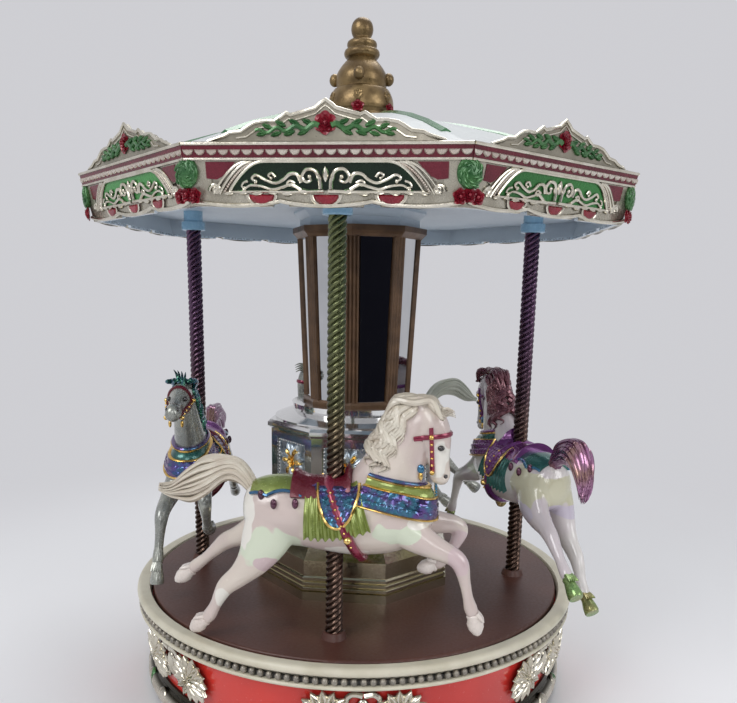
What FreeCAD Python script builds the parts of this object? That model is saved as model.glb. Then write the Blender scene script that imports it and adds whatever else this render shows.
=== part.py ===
import FreeCAD, Part
import math
import os

from FreeCAD import Matrix, Vector

# Wind-up carousel music box. Millimetres, +Z up, origin at the middle of the table under it.
# The front pole stands towards -Y. Heights of the tower are measured from the deck.

# Base
foot_height = 1.8
foot_radius = 6.0
foot_draft = 0.6
foot_circle = 62.0
base_height = 38.2
shell_wall = 2.5
band_bottom_radius = 82.0
band_top_radius = 85.0
moulding_height = 10.0
moulding_radius = 86.3
rim_height = 7.5
rim_radius = 88.6
rim_lip = 3.4
rim_drop = 2.5
rim_proud = 0.2
bead_radius = 1.25
bead_level = 3.15
rim_foot = 0.9
rim_foot_inset = 1.4
cartouche_count = 7
cartouche_turn = 8.0
cartouche_width = 38.0
cartouche_depth = 1.8
cartouche_lobes = 7
cartouche_foot = 15.2
cartouche_rise = 1.7
cartouche_waist = 4.8
cartouche_sweep = 10.5
cartouche_lobe = 2.0
cover_thickness = 2.0
well_radius = 22.0
well_depth = 14.0
well_wall = 1.5
screw_circle = 74.0
screw_radius = 1.5
screw_head_radius = 2.8
screw_length = 11.0
screw_sink = 1.4
slot_half = 0.35
slot_depth = 0.6
plate_screw_circle = 13.6
plate_screw_head = 1.4
plate_screw_head_radius = 2.7
post_radius = 4.0
ledge_inner_radius = 72.0
ledge_thickness = 2.0
slip_ring_height = 2.0
slip_ring_width = 6.0

# Deck, plinth and drum
deck_radius = 82.5
deck_thickness = 4.0
deck_gap = 0.9
pole_circle = 66.0
boss_radius = 4.4
boss_height = 2.4
boss_draft = 0.8
socket_floor = 1.0
deck_round = 0.8
plinth_radius = 41.2
plinth_step = 3.4
plinth_bead = 2.0
plinth_fascia = 6.0
plinth_chamfer = 5.0
plinth_shoulder = 1.0
plinth_wall = 3.2
tower_plate = 2.0
drum_radius = 35.0
drum_height = 40.6
drum_rim = 3.6
drum_rim_radius = 36.5
drum_rim_step = 1.0
drum_wall = 2.4
drum_panel_width = 18.5
drum_panel_height = 16.0
drum_panel_depth = 0.9
drum_panel_gap = 2.4
petal_count = 5
petal_radius = 1.95
petal_circle = 2.5
petal_depth = 0.45
heart_depth = 0.85
heart_radius = 1.85
heart_tip = 0.95
drum_top_height = 5.4
drum_top_edge = 0.8
dish_depth = 0.8
dish_gap = 1.6
dish_lip = 3.4
dish_fall = 3.0
octagon_sides = 8

# Mirror column
column_foot_radius = 21.1
column_head_radius = 23.9
column_height = 63.8
column_ring = 3.0
column_ring_proud = 0.9
column_ring_top = 0.3
pilaster_half_width = 2.4
pilaster_depth = 3.2
flute_depth = 0.5
mirror_thickness = 1.0
mirror_inset = 0.2
mirror_side_gap = 0.75
cornice_height = 4.0
cornice_overhang = 2.2
head_height = 6.3
head_neck = 0.6
head_flare = 1.8
head_edge = 0.8

# Canopy
fascia_top_radius = 100.8
fascia_bottom_radius = 97.1
fascia_height = 15.7
fascia_wall = 2.4
fascia_drop = 7.2
field_depth = 0.6
swag_notch = 2.4
field_side = 6.0
field_low = 4.1
field_high = 11.3
field_shoulder = 9.0
field_shoulder_level = 7.1
field_bow = 6.5
field_bow_level = 7.85
ceiling_thickness = 2.0
gable_half_width = 31.5
gable_height = 10.6
gable_thickness = 2.2
rose_radius = 3.0
rose_sink = 1.65
shield_width = 8.0
shield_height = 11.0
shield_proud = 1.6
roof_rise = 23.7
roof_bulge = 0.63
roof_wall = 2.0
roof_set_in = 5.0
roof_crown = 1.0
roof_steps = 6
rib_width = 3.0
rib_proud = 0.8
finial_height = 32.2
finial_radius = 12.0
finial_foot_height = 4.0
finial_foot_radius = 11.0
finial_knob = 4.1
finial_neck = 3.1
finial_lug = 2.05
collar_flange_radius = 4.6
collar_flange_height = 3.4
collar_neck_radius = 3.7
collar_round = 0.4
collar_overlap = 0.1

# Poles and the rod that clamps the tower
pole_radius = 2.9
pole_waist = 2.35
pole_lead = 10.5
pole_starts = 3
rod_radius = 1.5
rod_nut_radius = 4.0
rod_nut_height = 1.6
hub_radius = 14.0
hub_height = 2.4
spigot_radius = 6.0

# Movement
plate_thickness = 1.5
plate_left = 17.0
plate_right = 48.0
plate_front = 21.0
plate_back = 26.0
arbor_radius = 2.2
ratchet_radius = 5.6
ratchet_height = 1.0
ratchet_teeth = 12
ratchet_root = 4.6
ratchet_slant = 0.85
click_half = 1.2
click_length = 7.0
click_pad = 2.4
plate_round = 4.0
barrel_radius = 12.3
barrel_wall = 1.0
barrel_height = 11.0
flange_thickness = 1.2
crown_teeth = 36
crown_radius = 14.0
crown_face = 2.0
pinion_teeth = 12
tooth_addendum = 0.45
tooth_dedendum = 0.75
dog_side = 8.0
dog_height = 2.2
spring_turns = 6
spring_strip = 0.5
cylinder_radius = 6.2
cylinder_length = 18.6
pin_height = 0.5
pin_radius = 0.22
pin_count = 54
shaft_radius = 1.0
upright = 1.0
upright_half = 4.0
upright_side = 3.0
upright_top = 3.0
governor_shaft = 0.7
worm_shaft = 0.5
worm_length = 5.0
frame_half = 1.6
frame_back = 2.0
frame_arm = 1.0
frame_step = 1.4
frame_post_half = 2.4
pivot_rise = 0.9
worm_rise = 1.0
comb_teeth = 18
comb_depth = 16.0
comb_thickness = 1.2
comb_slot = 0.4
comb_shortest = 5.4
comb_longest = 7.4
comb_screw_radius = 2.4
comb_screw_height = 1.2
wheel_teeth = 30
governor_teeth = 10
train_module = 0.4
worm_wheel_teeth = 12
worm_module = 0.5
worm_radius = 0.9
worm_distance = 4.5
gear_width = 1.5
fly_radius = 4.2
fly_height = 3.0
fly_half = 0.2
fly_gap = 1.2
fly_boss = 1.1
fly_clear = 1.0
key_width = 26.0
key_height = 8.5
key_thickness = 2.0
key_hub_radius = 3.6
key_rise = 1.2

# Clearances
running_fit = 0.08
seat_fit = 0.05
lift = 0.3

# Levels
deck_top = foot_height + base_height
deck_bottom = deck_top - deck_thickness
band_bottom = foot_height + moulding_height
band_top = deck_top - rim_height
plinth_height = plinth_step + 3 * plinth_bead + plinth_fascia + plinth_chamfer
drum_bottom = deck_top + plinth_height
drum_top_level = drum_bottom + drum_height + drum_rim
column_bottom = drum_top_level + drum_top_height
column_top = column_bottom + column_height
head_bottom = column_top + cornice_height
ceiling_bottom = head_bottom + head_height
ceiling_top = ceiling_bottom + ceiling_thickness
fascia_bottom = ceiling_bottom - fascia_drop
fascia_top = fascia_bottom + fascia_height
roof_top = fascia_top + roof_rise
finial_bottom = roof_top + finial_foot_height
collar_height = ceiling_bottom - fascia_bottom + collar_overlap
well_ceiling = foot_height + well_depth
plate_bottom = well_ceiling + well_wall
plate_top = plate_bottom + plate_thickness
ratchet_bottom = plate_top + lift
flange_bottom = ratchet_bottom + ratchet_height + lift
crown_root = flange_bottom + flange_thickness
cylinder_axis = crown_root + tooth_dedendum + crown_radius * pinion_teeth / crown_teeth
barrel_lid_top = flange_bottom + flange_thickness + barrel_height
side_cosine = math.cos(math.pi / octagon_sides)
side_sine = math.sin(math.pi / octagon_sides)
half_side = 180.0 / octagon_sides
fascia_slope = (fascia_top_radius - fascia_bottom_radius) * side_cosine / fascia_height


def point(radius, degrees, z=0.0):
    """Point at a radius and an angle about the tower's axis."""
    angle = math.radians(degrees)
    return Vector(radius * math.cos(angle), radius * math.sin(angle), z)


def turned(shape, degrees):
    """Copy of a shape turned about the tower's axis."""
    copy = shape.copy()
    copy.rotate(Vector(0, 0, 0), Vector(0, 0, 1), degrees)
    return copy


def ring_of(shape, count, first=0.0):
    """Copies of a shape set evenly round the axis, as a list."""
    return [turned(shape, first + 360.0 * step / count) for step in range(count)]


def tube(radius, bore, bottom, height):
    """Upright tube, or a rod where the bore is zero."""
    solid = Part.makeCylinder(radius, height, Vector(0, 0, bottom))
    if bore:
        solid = solid.cut(Part.makeCylinder(bore, height, Vector(0, 0, bottom)))
    return solid


def revolve(outline):
    """Solid turned from (radius, height) points."""
    points = [Vector(radius, 0, z) for radius, z in outline]
    face = Part.Face(Part.makePolygon(points + points[:1]))
    return face.revolve(Vector(0, 0, 0), Vector(0, 0, 1), 360)


def octagon(radius, z, turn=half_side):
    """Octagon wire by its corner radius, with a side to the front unless turned."""
    corners = [point(radius, turn + 360.0 * step / octagon_sides, z) for step in range(octagon_sides)]
    return Part.makePolygon(corners + corners[:1])


def octagon_stack(levels, turn=half_side):
    """Solid of flat sides through (corner radius, height) octagons."""
    return Part.makeLoft([octagon(radius, z, turn) for radius, z in levels], True, True)


def prism(wire, thrust):
    """Solid drawn from a closed flat wire."""
    return Part.Face(wire).extrude(thrust)


def block(low, high):
    """Box between two corners."""
    return Part.makeBox(high[0] - low[0], high[1] - low[1], high[2] - low[2], Vector(*low))


def arc(start, middle, end):
    """Arc edge through three points."""
    return Part.Arc(start, middle, end).toShape()


def line(start, end):
    """Straight edge."""
    return Part.LineSegment(start, end).toShape()


def export(name, shapes):
    """Write one node, made of one solid or of a group of solids."""
    group = shapes if isinstance(shapes, list) else [shapes]
    solids = [solid for shape in group for solid in shape.Solids]
    node = solids[0] if len(solids) == 1 else Part.makeCompound(solids)
    node.exportStep("parts/" + name + ".step")


# Base pieces

def base_shell():
    """Red base: tapered band, inner ledge for the slip ring and four screw posts."""
    ledge_top = deck_bottom - lift - slip_ring_height
    inner = band_bottom_radius - shell_wall
    shell = revolve([
        (band_bottom_radius, foot_height), (band_bottom_radius, band_bottom),
        (band_top_radius, band_top), (band_top_radius - shell_wall, band_top),
        (band_top_radius - shell_wall, ledge_top), (ledge_inner_radius, ledge_top),
        (ledge_inner_radius, ledge_top - ledge_thickness), (inner, ledge_top - ledge_thickness - shell_wall),
        (inner, foot_height)])
    seat = foot_height + cover_thickness
    post = Part.makeCylinder(post_radius, ledge_top - seat, Vector(screw_circle, 0, seat))
    pilot = Part.makeCylinder(screw_radius, screw_length, Vector(screw_circle, 0, foot_height))
    shell = shell.multiFuse(ring_of(post, 4))
    return shell.cut(Part.makeCompound(ring_of(pilot, 4)))


def rim_ring():
    """Ivory rim: rounded lip, half-round bead moulding and a thin lower lip."""
    inner = deck_radius + deck_gap
    lip = rim_radius - rim_lip
    top = deck_top + rim_proud
    mid = band_top + bead_level
    start = Vector(inner, 0, band_top)
    corner = Vector(inner, 0, top - deck_round)
    crown = Vector(0.5 * (inner + lip), 0, top)
    lip_end = Vector(rim_radius, 0, top - rim_drop)
    lip_mid = Vector(lip + 0.8 * rim_lip, 0, top - 0.27 * rim_drop)
    neck = Vector(rim_radius - bead_radius, 0, mid + bead_radius)
    bead = Vector(rim_radius - seat_fit, 0, mid)
    under = Vector(rim_radius - bead_radius, 0, mid - bead_radius)
    foot = Vector(rim_radius - lift, 0, band_top + rim_foot)
    heel = Vector(rim_radius - rim_foot_inset, 0, band_top)
    edges = [
        line(start, corner), line(corner, crown), arc(crown, lip_mid, lip_end),
        line(lip_end, neck), arc(neck, bead, under), line(under, foot),
        line(foot, heel), line(heel, start)]
    return Part.Face(Part.Wire(edges)).revolve(Vector(0, 0, 0), Vector(0, 0, 1), 360)


def band_radius_at(z):
    """Outer radius of the red band at a height."""
    share = (z - band_bottom) / (band_top - band_bottom)
    return band_bottom_radius + share * (band_top_radius - band_bottom_radius)


def cartouches():
    """Acanthus fans laid on the red band, each a scalloped plate that follows the cone."""
    low = band_bottom + cartouche_rise
    lobes = cartouche_lobes
    foot_half = 0.5 * cartouche_foot
    root = Vector(0, 0, low)
    tips = []
    for step in range(lobes + 1):
        spread = math.pi * (step / lobes)
        tips.append(root + Vector(-0.5 * cartouche_width * math.cos(spread), 0,
                                  cartouche_waist + cartouche_sweep * math.sin(spread)))
    edges = [line(Vector(-foot_half, 0, low), tips[0])]
    for left, right in zip(tips, tips[1:]):
        middle = 0.5 * (left + right)
        outward = (middle - root).normalize()
        edges.append(arc(left, middle + outward * cartouche_lobe, right))
    edges.append(line(tips[-1], Vector(foot_half, 0, low)))
    edges.append(line(Vector(foot_half, 0, low), Vector(-foot_half, 0, low)))
    plate = prism(Part.Wire(edges), Vector(0, rim_radius, 0))
    plate.translate(Vector(0, -rim_radius, 0))
    skin = revolve([
        (band_radius_at(band_bottom), band_bottom), (band_radius_at(band_bottom) + cartouche_depth, band_bottom),
        (band_radius_at(band_top) + cartouche_depth, band_top), (band_radius_at(band_top), band_top)])
    one = plate.common(skin)
    return ring_of(one, cartouche_count, cartouche_turn)


def bottom_moulding():
    """Silver moulding round the foot of the base, an ogee in section."""
    inner = band_bottom_radius
    low = Vector(inner, 0, foot_height)
    out = Vector(moulding_radius - 0.6, 0, foot_height)
    belly = Vector(moulding_radius, 0, foot_height + 0.3 * moulding_height)
    waist = Vector(inner + 0.5 * (moulding_radius - inner), 0, foot_height + 0.62 * moulding_height)
    hollow = Vector(inner + 0.24 * (moulding_radius - inner), 0, foot_height + 0.78 * moulding_height)
    top_out = Vector(inner + 0.3 * (moulding_radius - inner), 0, band_bottom)
    top_in = Vector(inner, 0, band_bottom)
    edges = [line(low, out), arc(out, belly, waist), arc(waist, hollow, top_out),
             line(top_out, top_in), line(top_in, low)]
    return Part.Face(Part.Wire(edges)).revolve(Vector(0, 0, 0), Vector(0, 0, 1), 360)


def bottom_cover():
    """Round cover with a well for the key and countersunk screw holes."""
    inner = band_bottom_radius - shell_wall - seat_fit
    plate = tube(inner, well_radius, foot_height, cover_thickness)
    well = tube(well_radius + well_wall, well_radius, foot_height, well_depth + well_wall)
    roof = tube(well_radius + well_wall, arbor_radius + lift, well_ceiling, well_wall)
    cover = plate.multiFuse([well, roof])
    hole = Part.makeCylinder(screw_radius + seat_fit, 4 * cover_thickness, Vector(screw_circle, 0, 0))
    sink = Part.makeCone(screw_head_radius, screw_radius, screw_sink, Vector(screw_circle, 0, foot_height))
    plate_hole = Part.makeCylinder(screw_radius, plate_bottom, Vector(plate_screw_circle, 0, 0))
    holes = ring_of(hole, 4) + ring_of(sink, 4) + ring_of(plate_hole, 3, 90)
    return cover.cut(Part.makeCompound(holes))


def cover_screws():
    """Four countersunk screws of the bottom cover."""
    head = Part.makeCone(screw_head_radius, screw_radius, screw_sink)
    shank = Part.makeCylinder(screw_radius, screw_length - lift)
    slot = block((-screw_head_radius, -slot_half, 0), (screw_head_radius, slot_half, slot_depth))
    screw = head.fuse(shank).cut(slot)
    screw.translate(Vector(screw_circle, 0, foot_height))
    return ring_of(screw, 4)


def plate_screws():
    """Three screws that hold the bedplate on the roof of the well."""
    bottom = well_ceiling - plate_screw_head
    head = tube(plate_screw_head_radius, 0, bottom, plate_screw_head)
    shank = tube(screw_radius, 0, well_ceiling, well_wall + plate_thickness)
    slot = block((-plate_screw_head_radius, -slot_half, bottom),
                 (plate_screw_head_radius, slot_half, bottom + slot_depth))
    screw = head.fuse(shank).cut(slot)
    screw.translate(Vector(plate_screw_circle, 0, 0))
    return ring_of(screw, 3, 90)


def feet():
    """Four soft pads under the cover."""
    pad = Part.makeCone(foot_radius - foot_draft, foot_radius, foot_height, Vector(foot_circle, 0, 0))
    return ring_of(pad, 4, 45)


def slip_ring():
    """Low-friction ring that carries the turning deck."""
    bottom = deck_bottom - lift - slip_ring_height
    return tube(ledge_inner_radius + slip_ring_width, ledge_inner_radius, bottom, slip_ring_height)


# Movement pieces

def bedplate():
    """Steel plate of the movement, with holes for the arbor and its screws."""
    plate = block((-plate_left, -plate_front, plate_bottom), (plate_right, plate_back, plate_top))
    corners = [edge for edge in plate.Edges if abs(edge.tangentAt(0).z) > 0.9]
    plate = plate.makeFillet(plate_round, corners)
    hole = Part.makeCylinder(screw_radius, plate_top, Vector(plate_screw_circle, 0, 0))
    arbor = Part.makeCylinder(arbor_radius + running_fit, plate_top)
    return plate.cut(Part.makeCompound(ring_of(hole, 3, 90) + [arbor]))


def crown_tooth(width_root, width_tip, bottom, height):
    """One radial tooth of the crown, pointing up, tapered along its height."""
    def corners(width, z):
        low = crown_radius - 0.5 * crown_face
        high = crown_radius + 0.5 * crown_face
        return Part.makePolygon([
            Vector(low, -0.5 * width * low / crown_radius, z), Vector(high, -0.5 * width * high / crown_radius, z),
            Vector(high, 0.5 * width * high / crown_radius, z), Vector(low, 0.5 * width * low / crown_radius, z),
            Vector(low, -0.5 * width * low / crown_radius, z)])
    return Part.makeLoft([corners(width_root, bottom), corners(width_tip, bottom + height)], True, True)


def spring_barrel():
    """Cup of the spring with a crown of teeth on its flange and a square dog on its lid."""
    pitch = 2 * math.pi * crown_radius / crown_teeth
    flange = tube(crown_radius + 0.5 * crown_face, arbor_radius + running_fit, flange_bottom, flange_thickness)
    wall = tube(barrel_radius, barrel_radius - barrel_wall, crown_root, barrel_height - barrel_wall)
    lid = tube(barrel_radius, 0, barrel_lid_top - barrel_wall, barrel_wall)
    half = 0.5 * dog_side
    dog = block((-half, -half, barrel_lid_top), (half, half, barrel_lid_top + dog_height))
    tooth = crown_tooth(0.44 * pitch, 0.2 * pitch, crown_root, tooth_dedendum + tooth_addendum)
    teeth = ring_of(tooth, crown_teeth, 180.0 / crown_teeth)
    return flange.multiFuse([wall, lid, dog] + teeth)


def mainspring():
    """Flat spiral spring: half-turn arcs on two centres, from the arbor to the barrel wall."""
    first = arbor_radius + lift + spring_strip
    last = barrel_radius - barrel_wall - 0.5 * spring_strip
    halves = 2 * spring_turns
    step = (last - first) / halves
    outer = []
    inner = []
    centre = 0.0
    for half in range(halves):
        radius = first + half * step
        sign = 1 if half % 2 == 0 else -1
        for edges, size in ((outer, radius + 0.5 * spring_strip), (inner, radius - 0.5 * spring_strip)):
            middle = Vector(centre, 0, 0)
            edges.append(arc(middle + Vector(sign * size, 0, 0), middle + Vector(0, sign * size, 0),
                             middle - Vector(sign * size, 0, 0)))
        centre += sign * step
    ends = [line(outer[0].Vertexes[0].Point, inner[0].Vertexes[0].Point),
            line(outer[-1].Vertexes[-1].Point, inner[-1].Vertexes[-1].Point)]
    wire = Part.Wire(Part.__sortEdges__(outer + inner + ends))
    height = barrel_height - barrel_wall - 4 * lift
    strip = prism(wire, Vector(0, 0, height))
    strip.translate(Vector(0, 0, crown_root + lift))
    return strip


def winding_arbor():
    """Arbor that the key turns, from the key up into the spring."""
    bottom = foot_height + key_rise
    return tube(arbor_radius, 0, bottom, barrel_lid_top - barrel_wall - lift - bottom)


def ratchet_wheel():
    """Ratchet that keeps the spring wound: saw teeth round the arbor."""
    outline = []
    for tooth in range(ratchet_teeth):
        angle = 360.0 * tooth / ratchet_teeth
        outline.append(point(ratchet_radius, angle, ratchet_bottom))
        outline.append(point(ratchet_root, angle + ratchet_slant * 360.0 / ratchet_teeth, ratchet_bottom))
    wheel = prism(Part.makePolygon(outline + outline[:1]), Vector(0, 0, ratchet_height))
    return wheel.cut(Part.makeCylinder(arbor_radius, plate_top + 10 * ratchet_height))


def click():
    """Click pawl on the bedplate, its nose at the ratchet's tips."""
    reach = ratchet_radius + lift
    end = reach + click_length
    arm = block((-click_half, reach, plate_top), (click_half, end, plate_top + lift + ratchet_height))
    pad = Part.makeCylinder(click_pad, lift + ratchet_height, Vector(0, end, plate_top))
    return arm.fuse(pad)


def winding_key():
    """Butterfly key: round hub and two wings with finger holes."""
    bottom = foot_height + key_rise
    hub = tube(key_hub_radius, arbor_radius, bottom, well_depth - 2 * key_rise)
    half = 0.5 * key_width
    mid = bottom + 0.5 * key_height
    rise = 0.5 * key_height
    wing_edges = [
        line(Vector(0, 0, mid - 0.5 * rise), Vector(half - rise, 0, mid - rise)),
        arc(Vector(half - rise, 0, mid - rise), Vector(half, 0, mid), Vector(half - rise, 0, mid + rise)),
        line(Vector(half - rise, 0, mid + rise), Vector(0, 0, mid + 0.5 * rise)),
        line(Vector(0, 0, mid + 0.5 * rise), Vector(0, 0, mid - 0.5 * rise))]
    wing = prism(Part.Wire(wing_edges), Vector(0, key_thickness, 0))
    wing.translate(Vector(0, -0.5 * key_thickness, 0))
    eye = Part.makeCylinder(0.5 * rise, 2 * key_thickness, Vector(half - rise, -key_thickness, mid), Vector(0, 1, 0))
    wing = wing.cut(eye)
    bore = tube(arbor_radius, 0, 0, well_ceiling)
    return hub.multiFuse([wing, turned(wing, 180)]).cut(bore)


def gear(teeth, module, width, bore, thick=0.58, tip=0.2):
    """Spur gear along +X with straight-sided teeth, one tooth pointing down."""
    pitch_radius = 0.5 * teeth * module
    root = pitch_radius - 1.15 * module
    outer = pitch_radius + 0.8 * module
    outline = []
    step = 2 * math.pi / teeth
    for tooth in range(teeth):
        middle = -0.5 * math.pi + tooth * step
        flank = ((root, -0.5 * thick), (outer, -0.5 * tip), (outer, 0.5 * tip), (root, 0.5 * thick))
        for radius, share in flank:
            angle = middle + share * step
            outline.append(Vector(0, radius * math.cos(angle), radius * math.sin(angle)))
    wheel = prism(Part.makePolygon(outline + outline[:1]), Vector(width, 0, 0))
    return wheel.cut(Part.makeCylinder(bore, width, Vector(0, 0, 0), Vector(1, 0, 0)))


def crown_pinion():
    """Pinion on the cylinder's shaft that the barrel's crown turns."""
    module = 2 * crown_radius / crown_teeth
    pitch = math.pi * module
    radius = 0.5 * pinion_teeth * module
    start = crown_radius - 0.5 * crown_face + 0.1
    width = crown_face - 0.2
    root = radius - tooth_dedendum
    core = Part.makeCylinder(root, width, Vector(0, 0, 0), Vector(1, 0, 0))
    half_root = 0.2 * pitch
    half_tip = 0.1 * pitch
    tip = radius + tooth_addendum
    corners = [Vector(0, -half_root, -0.8 * root), Vector(0, half_root, -0.8 * root),
               Vector(0, half_tip, -tip), Vector(0, -half_tip, -tip)]
    tooth = prism(Part.makePolygon(corners + corners[:1]), Vector(width, 0, 0))
    teeth = []
    for step in range(pinion_teeth):
        copy = tooth.copy()
        copy.rotate(Vector(0, 0, 0), Vector(1, 0, 0), 360.0 * step / pinion_teeth)
        teeth.append(copy)
    pinion = core.multiFuse(teeth)
    pinion = pinion.cut(Part.makeCylinder(shaft_radius, width, Vector(0, 0, 0), Vector(1, 0, 0)))
    pinion.translate(Vector(start, 0, cylinder_axis))
    return pinion


def first_upright():
    """Place along X of the bearing next to the barrel."""
    return crown_radius + 0.5 * crown_face + 2 * lift


def cylinder_start():
    """Place along X where the pinned cylinder begins."""
    return first_upright() + upright + lift


def second_upright():
    """Place along X of the bearing past the cylinder."""
    return cylinder_start() + cylinder_length + lift


def wheel_place():
    """Place along X of the wheel at the cylinder's far end."""
    return second_upright() + upright + 2 * lift


def pinned_cylinder():
    """Brass cylinder with pins, on its shaft."""
    start = cylinder_start()
    along = Vector(1, 0, 0)
    drum = Part.makeCylinder(cylinder_radius, cylinder_length, Vector(start, 0, cylinder_axis), along)
    shaft_start = crown_radius - 0.5 * crown_face
    shaft_end = wheel_place() + gear_width + lift
    shaft = Part.makeCylinder(shaft_radius, shaft_end - shaft_start, Vector(shaft_start, 0, cylinder_axis), along)
    pins = []
    golden = 137.508
    for pin in range(pin_count):
        angle = math.radians(golden * pin)
        place = start + cylinder_length * (pin % comb_teeth + 0.5) / comb_teeth
        out = Vector(0, math.cos(angle), math.sin(angle))
        foot = Vector(place, 0, cylinder_axis) + out * (cylinder_radius - pin_height)
        pins.append(Part.makeCylinder(pin_radius, 2 * pin_height, foot, out))
    return drum.multiFuse([shaft] + pins)


def cylinder_wheel():
    """Wheel that passes the cylinder's turning to the governor."""
    wheel = gear(wheel_teeth, train_module, gear_width, shaft_radius)
    wheel.translate(Vector(wheel_place(), 0, cylinder_axis))
    return wheel


def governor_side():
    """Distance of the governor's arbor from the cylinder's axis."""
    return 0.5 * train_module * (wheel_teeth + governor_teeth)


def cylinder_bearings():
    """Two uprights that carry the cylinder, the far one also the governor's arbor."""
    along = Vector(1, 0, 0)
    top = cylinder_axis + upright_top
    near = block((first_upright(), -upright_half, plate_top), (first_upright() + upright, upright_half, top))
    side = governor_side()
    far = block((second_upright(), -side - upright_side, plate_top),
                (second_upright() + upright, upright_half, top))
    bore = Part.makeCylinder(shaft_radius + running_fit, 2 * plate_right, Vector(0, 0, cylinder_axis), along)
    small = Part.makeCylinder(governor_shaft + running_fit, 2 * plate_right, Vector(0, -side, cylinder_axis), along)
    return [near.cut(bore), far.cut(bore).cut(small)]


def governor_end():
    """Place along X where the governor's arbor ends."""
    return wheel_place() + 3 * gear_width + 6 * lift


def governor_wheel():
    """Governor arbor with its pinion and the wheel that drives the worm."""
    arbor_start = second_upright()
    arbor = Part.makeCylinder(governor_shaft, governor_end() + upright - arbor_start,
                              Vector(arbor_start, 0, 0), Vector(1, 0, 0))
    pinion = gear(governor_teeth, train_module, gear_width, governor_shaft)
    wheel_phase = 0.75 * wheel_teeth % 1.0
    pinion.rotate(Vector(0, 0, 0), Vector(1, 0, 0), 90 + (0.5 - wheel_phase) * 360.0 / governor_teeth)
    pinion.translate(Vector(wheel_place(), 0, 0))
    wheel = gear(worm_wheel_teeth, worm_module, gear_width, governor_shaft)
    wheel.translate(Vector(worm_place() - 0.5 * gear_width, 0, 0))
    train = arbor.multiFuse([pinion, wheel])
    train.translate(Vector(0, -governor_side(), cylinder_axis))
    return train


def worm_place():
    """Place along X of the upright worm."""
    return wheel_place() + 2 * gear_width + 3 * lift


def worm_side():
    """Place along Y of the upright worm."""
    return -governor_side() - worm_distance


def fly_bottom():
    """Height of the fly's lower edge, above the governor's wheel."""
    return cylinder_axis + 0.5 * worm_wheel_teeth * worm_module + fly_gap


def governor_worm():
    """Upright worm with the two-winged fly that brakes on the air."""
    low = plate_top + worm_rise
    high = deck_bottom - 2 * lift - pivot_rise
    shaft = Part.makeCylinder(worm_shaft, high - low, Vector(0, 0, low))
    worm = Part.makeCylinder(worm_radius, worm_length, Vector(0, 0, cylinder_axis - 0.5 * worm_length))
    fly = block((-fly_radius, -fly_half, fly_bottom()), (fly_radius, fly_half, fly_bottom() + fly_height))
    boss = Part.makeCylinder(fly_boss, fly_height, Vector(0, 0, fly_bottom()))
    whole = shaft.multiFuse([worm, fly, boss])
    whole.translate(Vector(worm_place(), worm_side(), 0))
    return whole


def governor_frame():
    """Frame of the governor: arbor post, worm step, column and top arm."""
    along = Vector(1, 0, 0)
    place = worm_place()
    end = governor_end()
    side = governor_side()
    post = block((end, -side - frame_post_half, plate_top),
                 (end + upright, -side + frame_post_half, cylinder_axis + frame_back))
    small = Part.makeCylinder(governor_shaft + running_fit, 2 * plate_right, Vector(0, -side, cylinder_axis), along)
    post = post.cut(small)
    back = worm_side() - fly_radius - fly_clear
    left = place - frame_half
    right = place + frame_half
    front = worm_side() + frame_half
    arm_top = deck_bottom - 2 * lift
    column = block((left, back - frame_back, plate_top), (right, back, arm_top))
    arm = block((left, back - frame_back, arm_top - frame_arm), (right, front, arm_top))
    step = block((left, back - frame_back, plate_top), (right, front, plate_top + frame_step))
    pivot = Part.makeCylinder(worm_shaft + running_fit, arm_top, Vector(place, worm_side(), plate_top + pivot_rise))
    frame = column.multiFuse([arm, step]).cut(pivot)
    return [post, frame]


def comb_block():
    """Block under the comb."""
    start = cylinder_start()
    tip = cylinder_radius + pin_height + lift
    return block((start, tip + 0.5 * comb_depth, plate_top),
                 (start + cylinder_length, tip + comb_depth, cylinder_axis - 0.5 * comb_thickness))


def comb():
    """Steel comb of eighteen teeth, level with the cylinder's axis."""
    start = cylinder_start()
    tip = cylinder_radius + pin_height + lift
    bottom = cylinder_axis - 0.5 * comb_thickness
    plate = block((start, tip, bottom), (start + cylinder_length, tip + comb_depth, bottom + comb_thickness))
    slots = []
    for gap in range(1, comb_teeth):
        place = start + cylinder_length * gap / comb_teeth
        reach = comb_shortest + (comb_longest - comb_shortest) * gap / comb_teeth
        slots.append(block((place - 0.5 * comb_slot, tip, bottom),
                           (place + 0.5 * comb_slot, tip + reach, deck_bottom)))
    return plate.cut(Part.makeCompound(slots))


def comb_screws():
    """Two screws that clamp the comb to its block."""
    start = cylinder_start()
    tip = cylinder_radius + pin_height + lift
    level = cylinder_axis + 0.5 * comb_thickness
    heads = []
    for share in (0.25, 0.75):
        place = Vector(start + share * cylinder_length, tip + 0.75 * comb_depth, level)
        heads.append(Part.makeCylinder(comb_screw_radius, comb_screw_height, place))
    return heads


# Turntable pieces

def rod_hole(shape, radius=rod_radius + seat_fit):
    """Shape with the clamp rod's hole down its axis."""
    return shape.cut(Part.makeCylinder(radius, finial_bottom + finial_height, Vector(0, 0, 0)))


def deck():
    """Brown deck with a boss and a socket at each pole and a hole for the hub's spigot."""
    disc = tube(deck_radius, spigot_radius + seat_fit, deck_bottom, deck_thickness)
    fillet = [edge for edge in disc.Edges
              if abs(edge.BoundBox.ZMin - deck_top) < seat_fit and edge.Length > 2 * math.pi * pole_circle]
    disc = disc.makeFillet(deck_round, fillet)
    boss = Part.makeCone(boss_radius, boss_radius - boss_draft, boss_height, Vector(0, -pole_circle, deck_top))
    socket = Part.makeCylinder(pole_radius + seat_fit, deck_thickness + boss_height,
                               Vector(0, -pole_circle, deck_bottom + socket_floor))
    disc = disc.multiFuse(ring_of(boss, 4))
    return disc.cut(Part.makeCompound(ring_of(socket, 4)))


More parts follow.
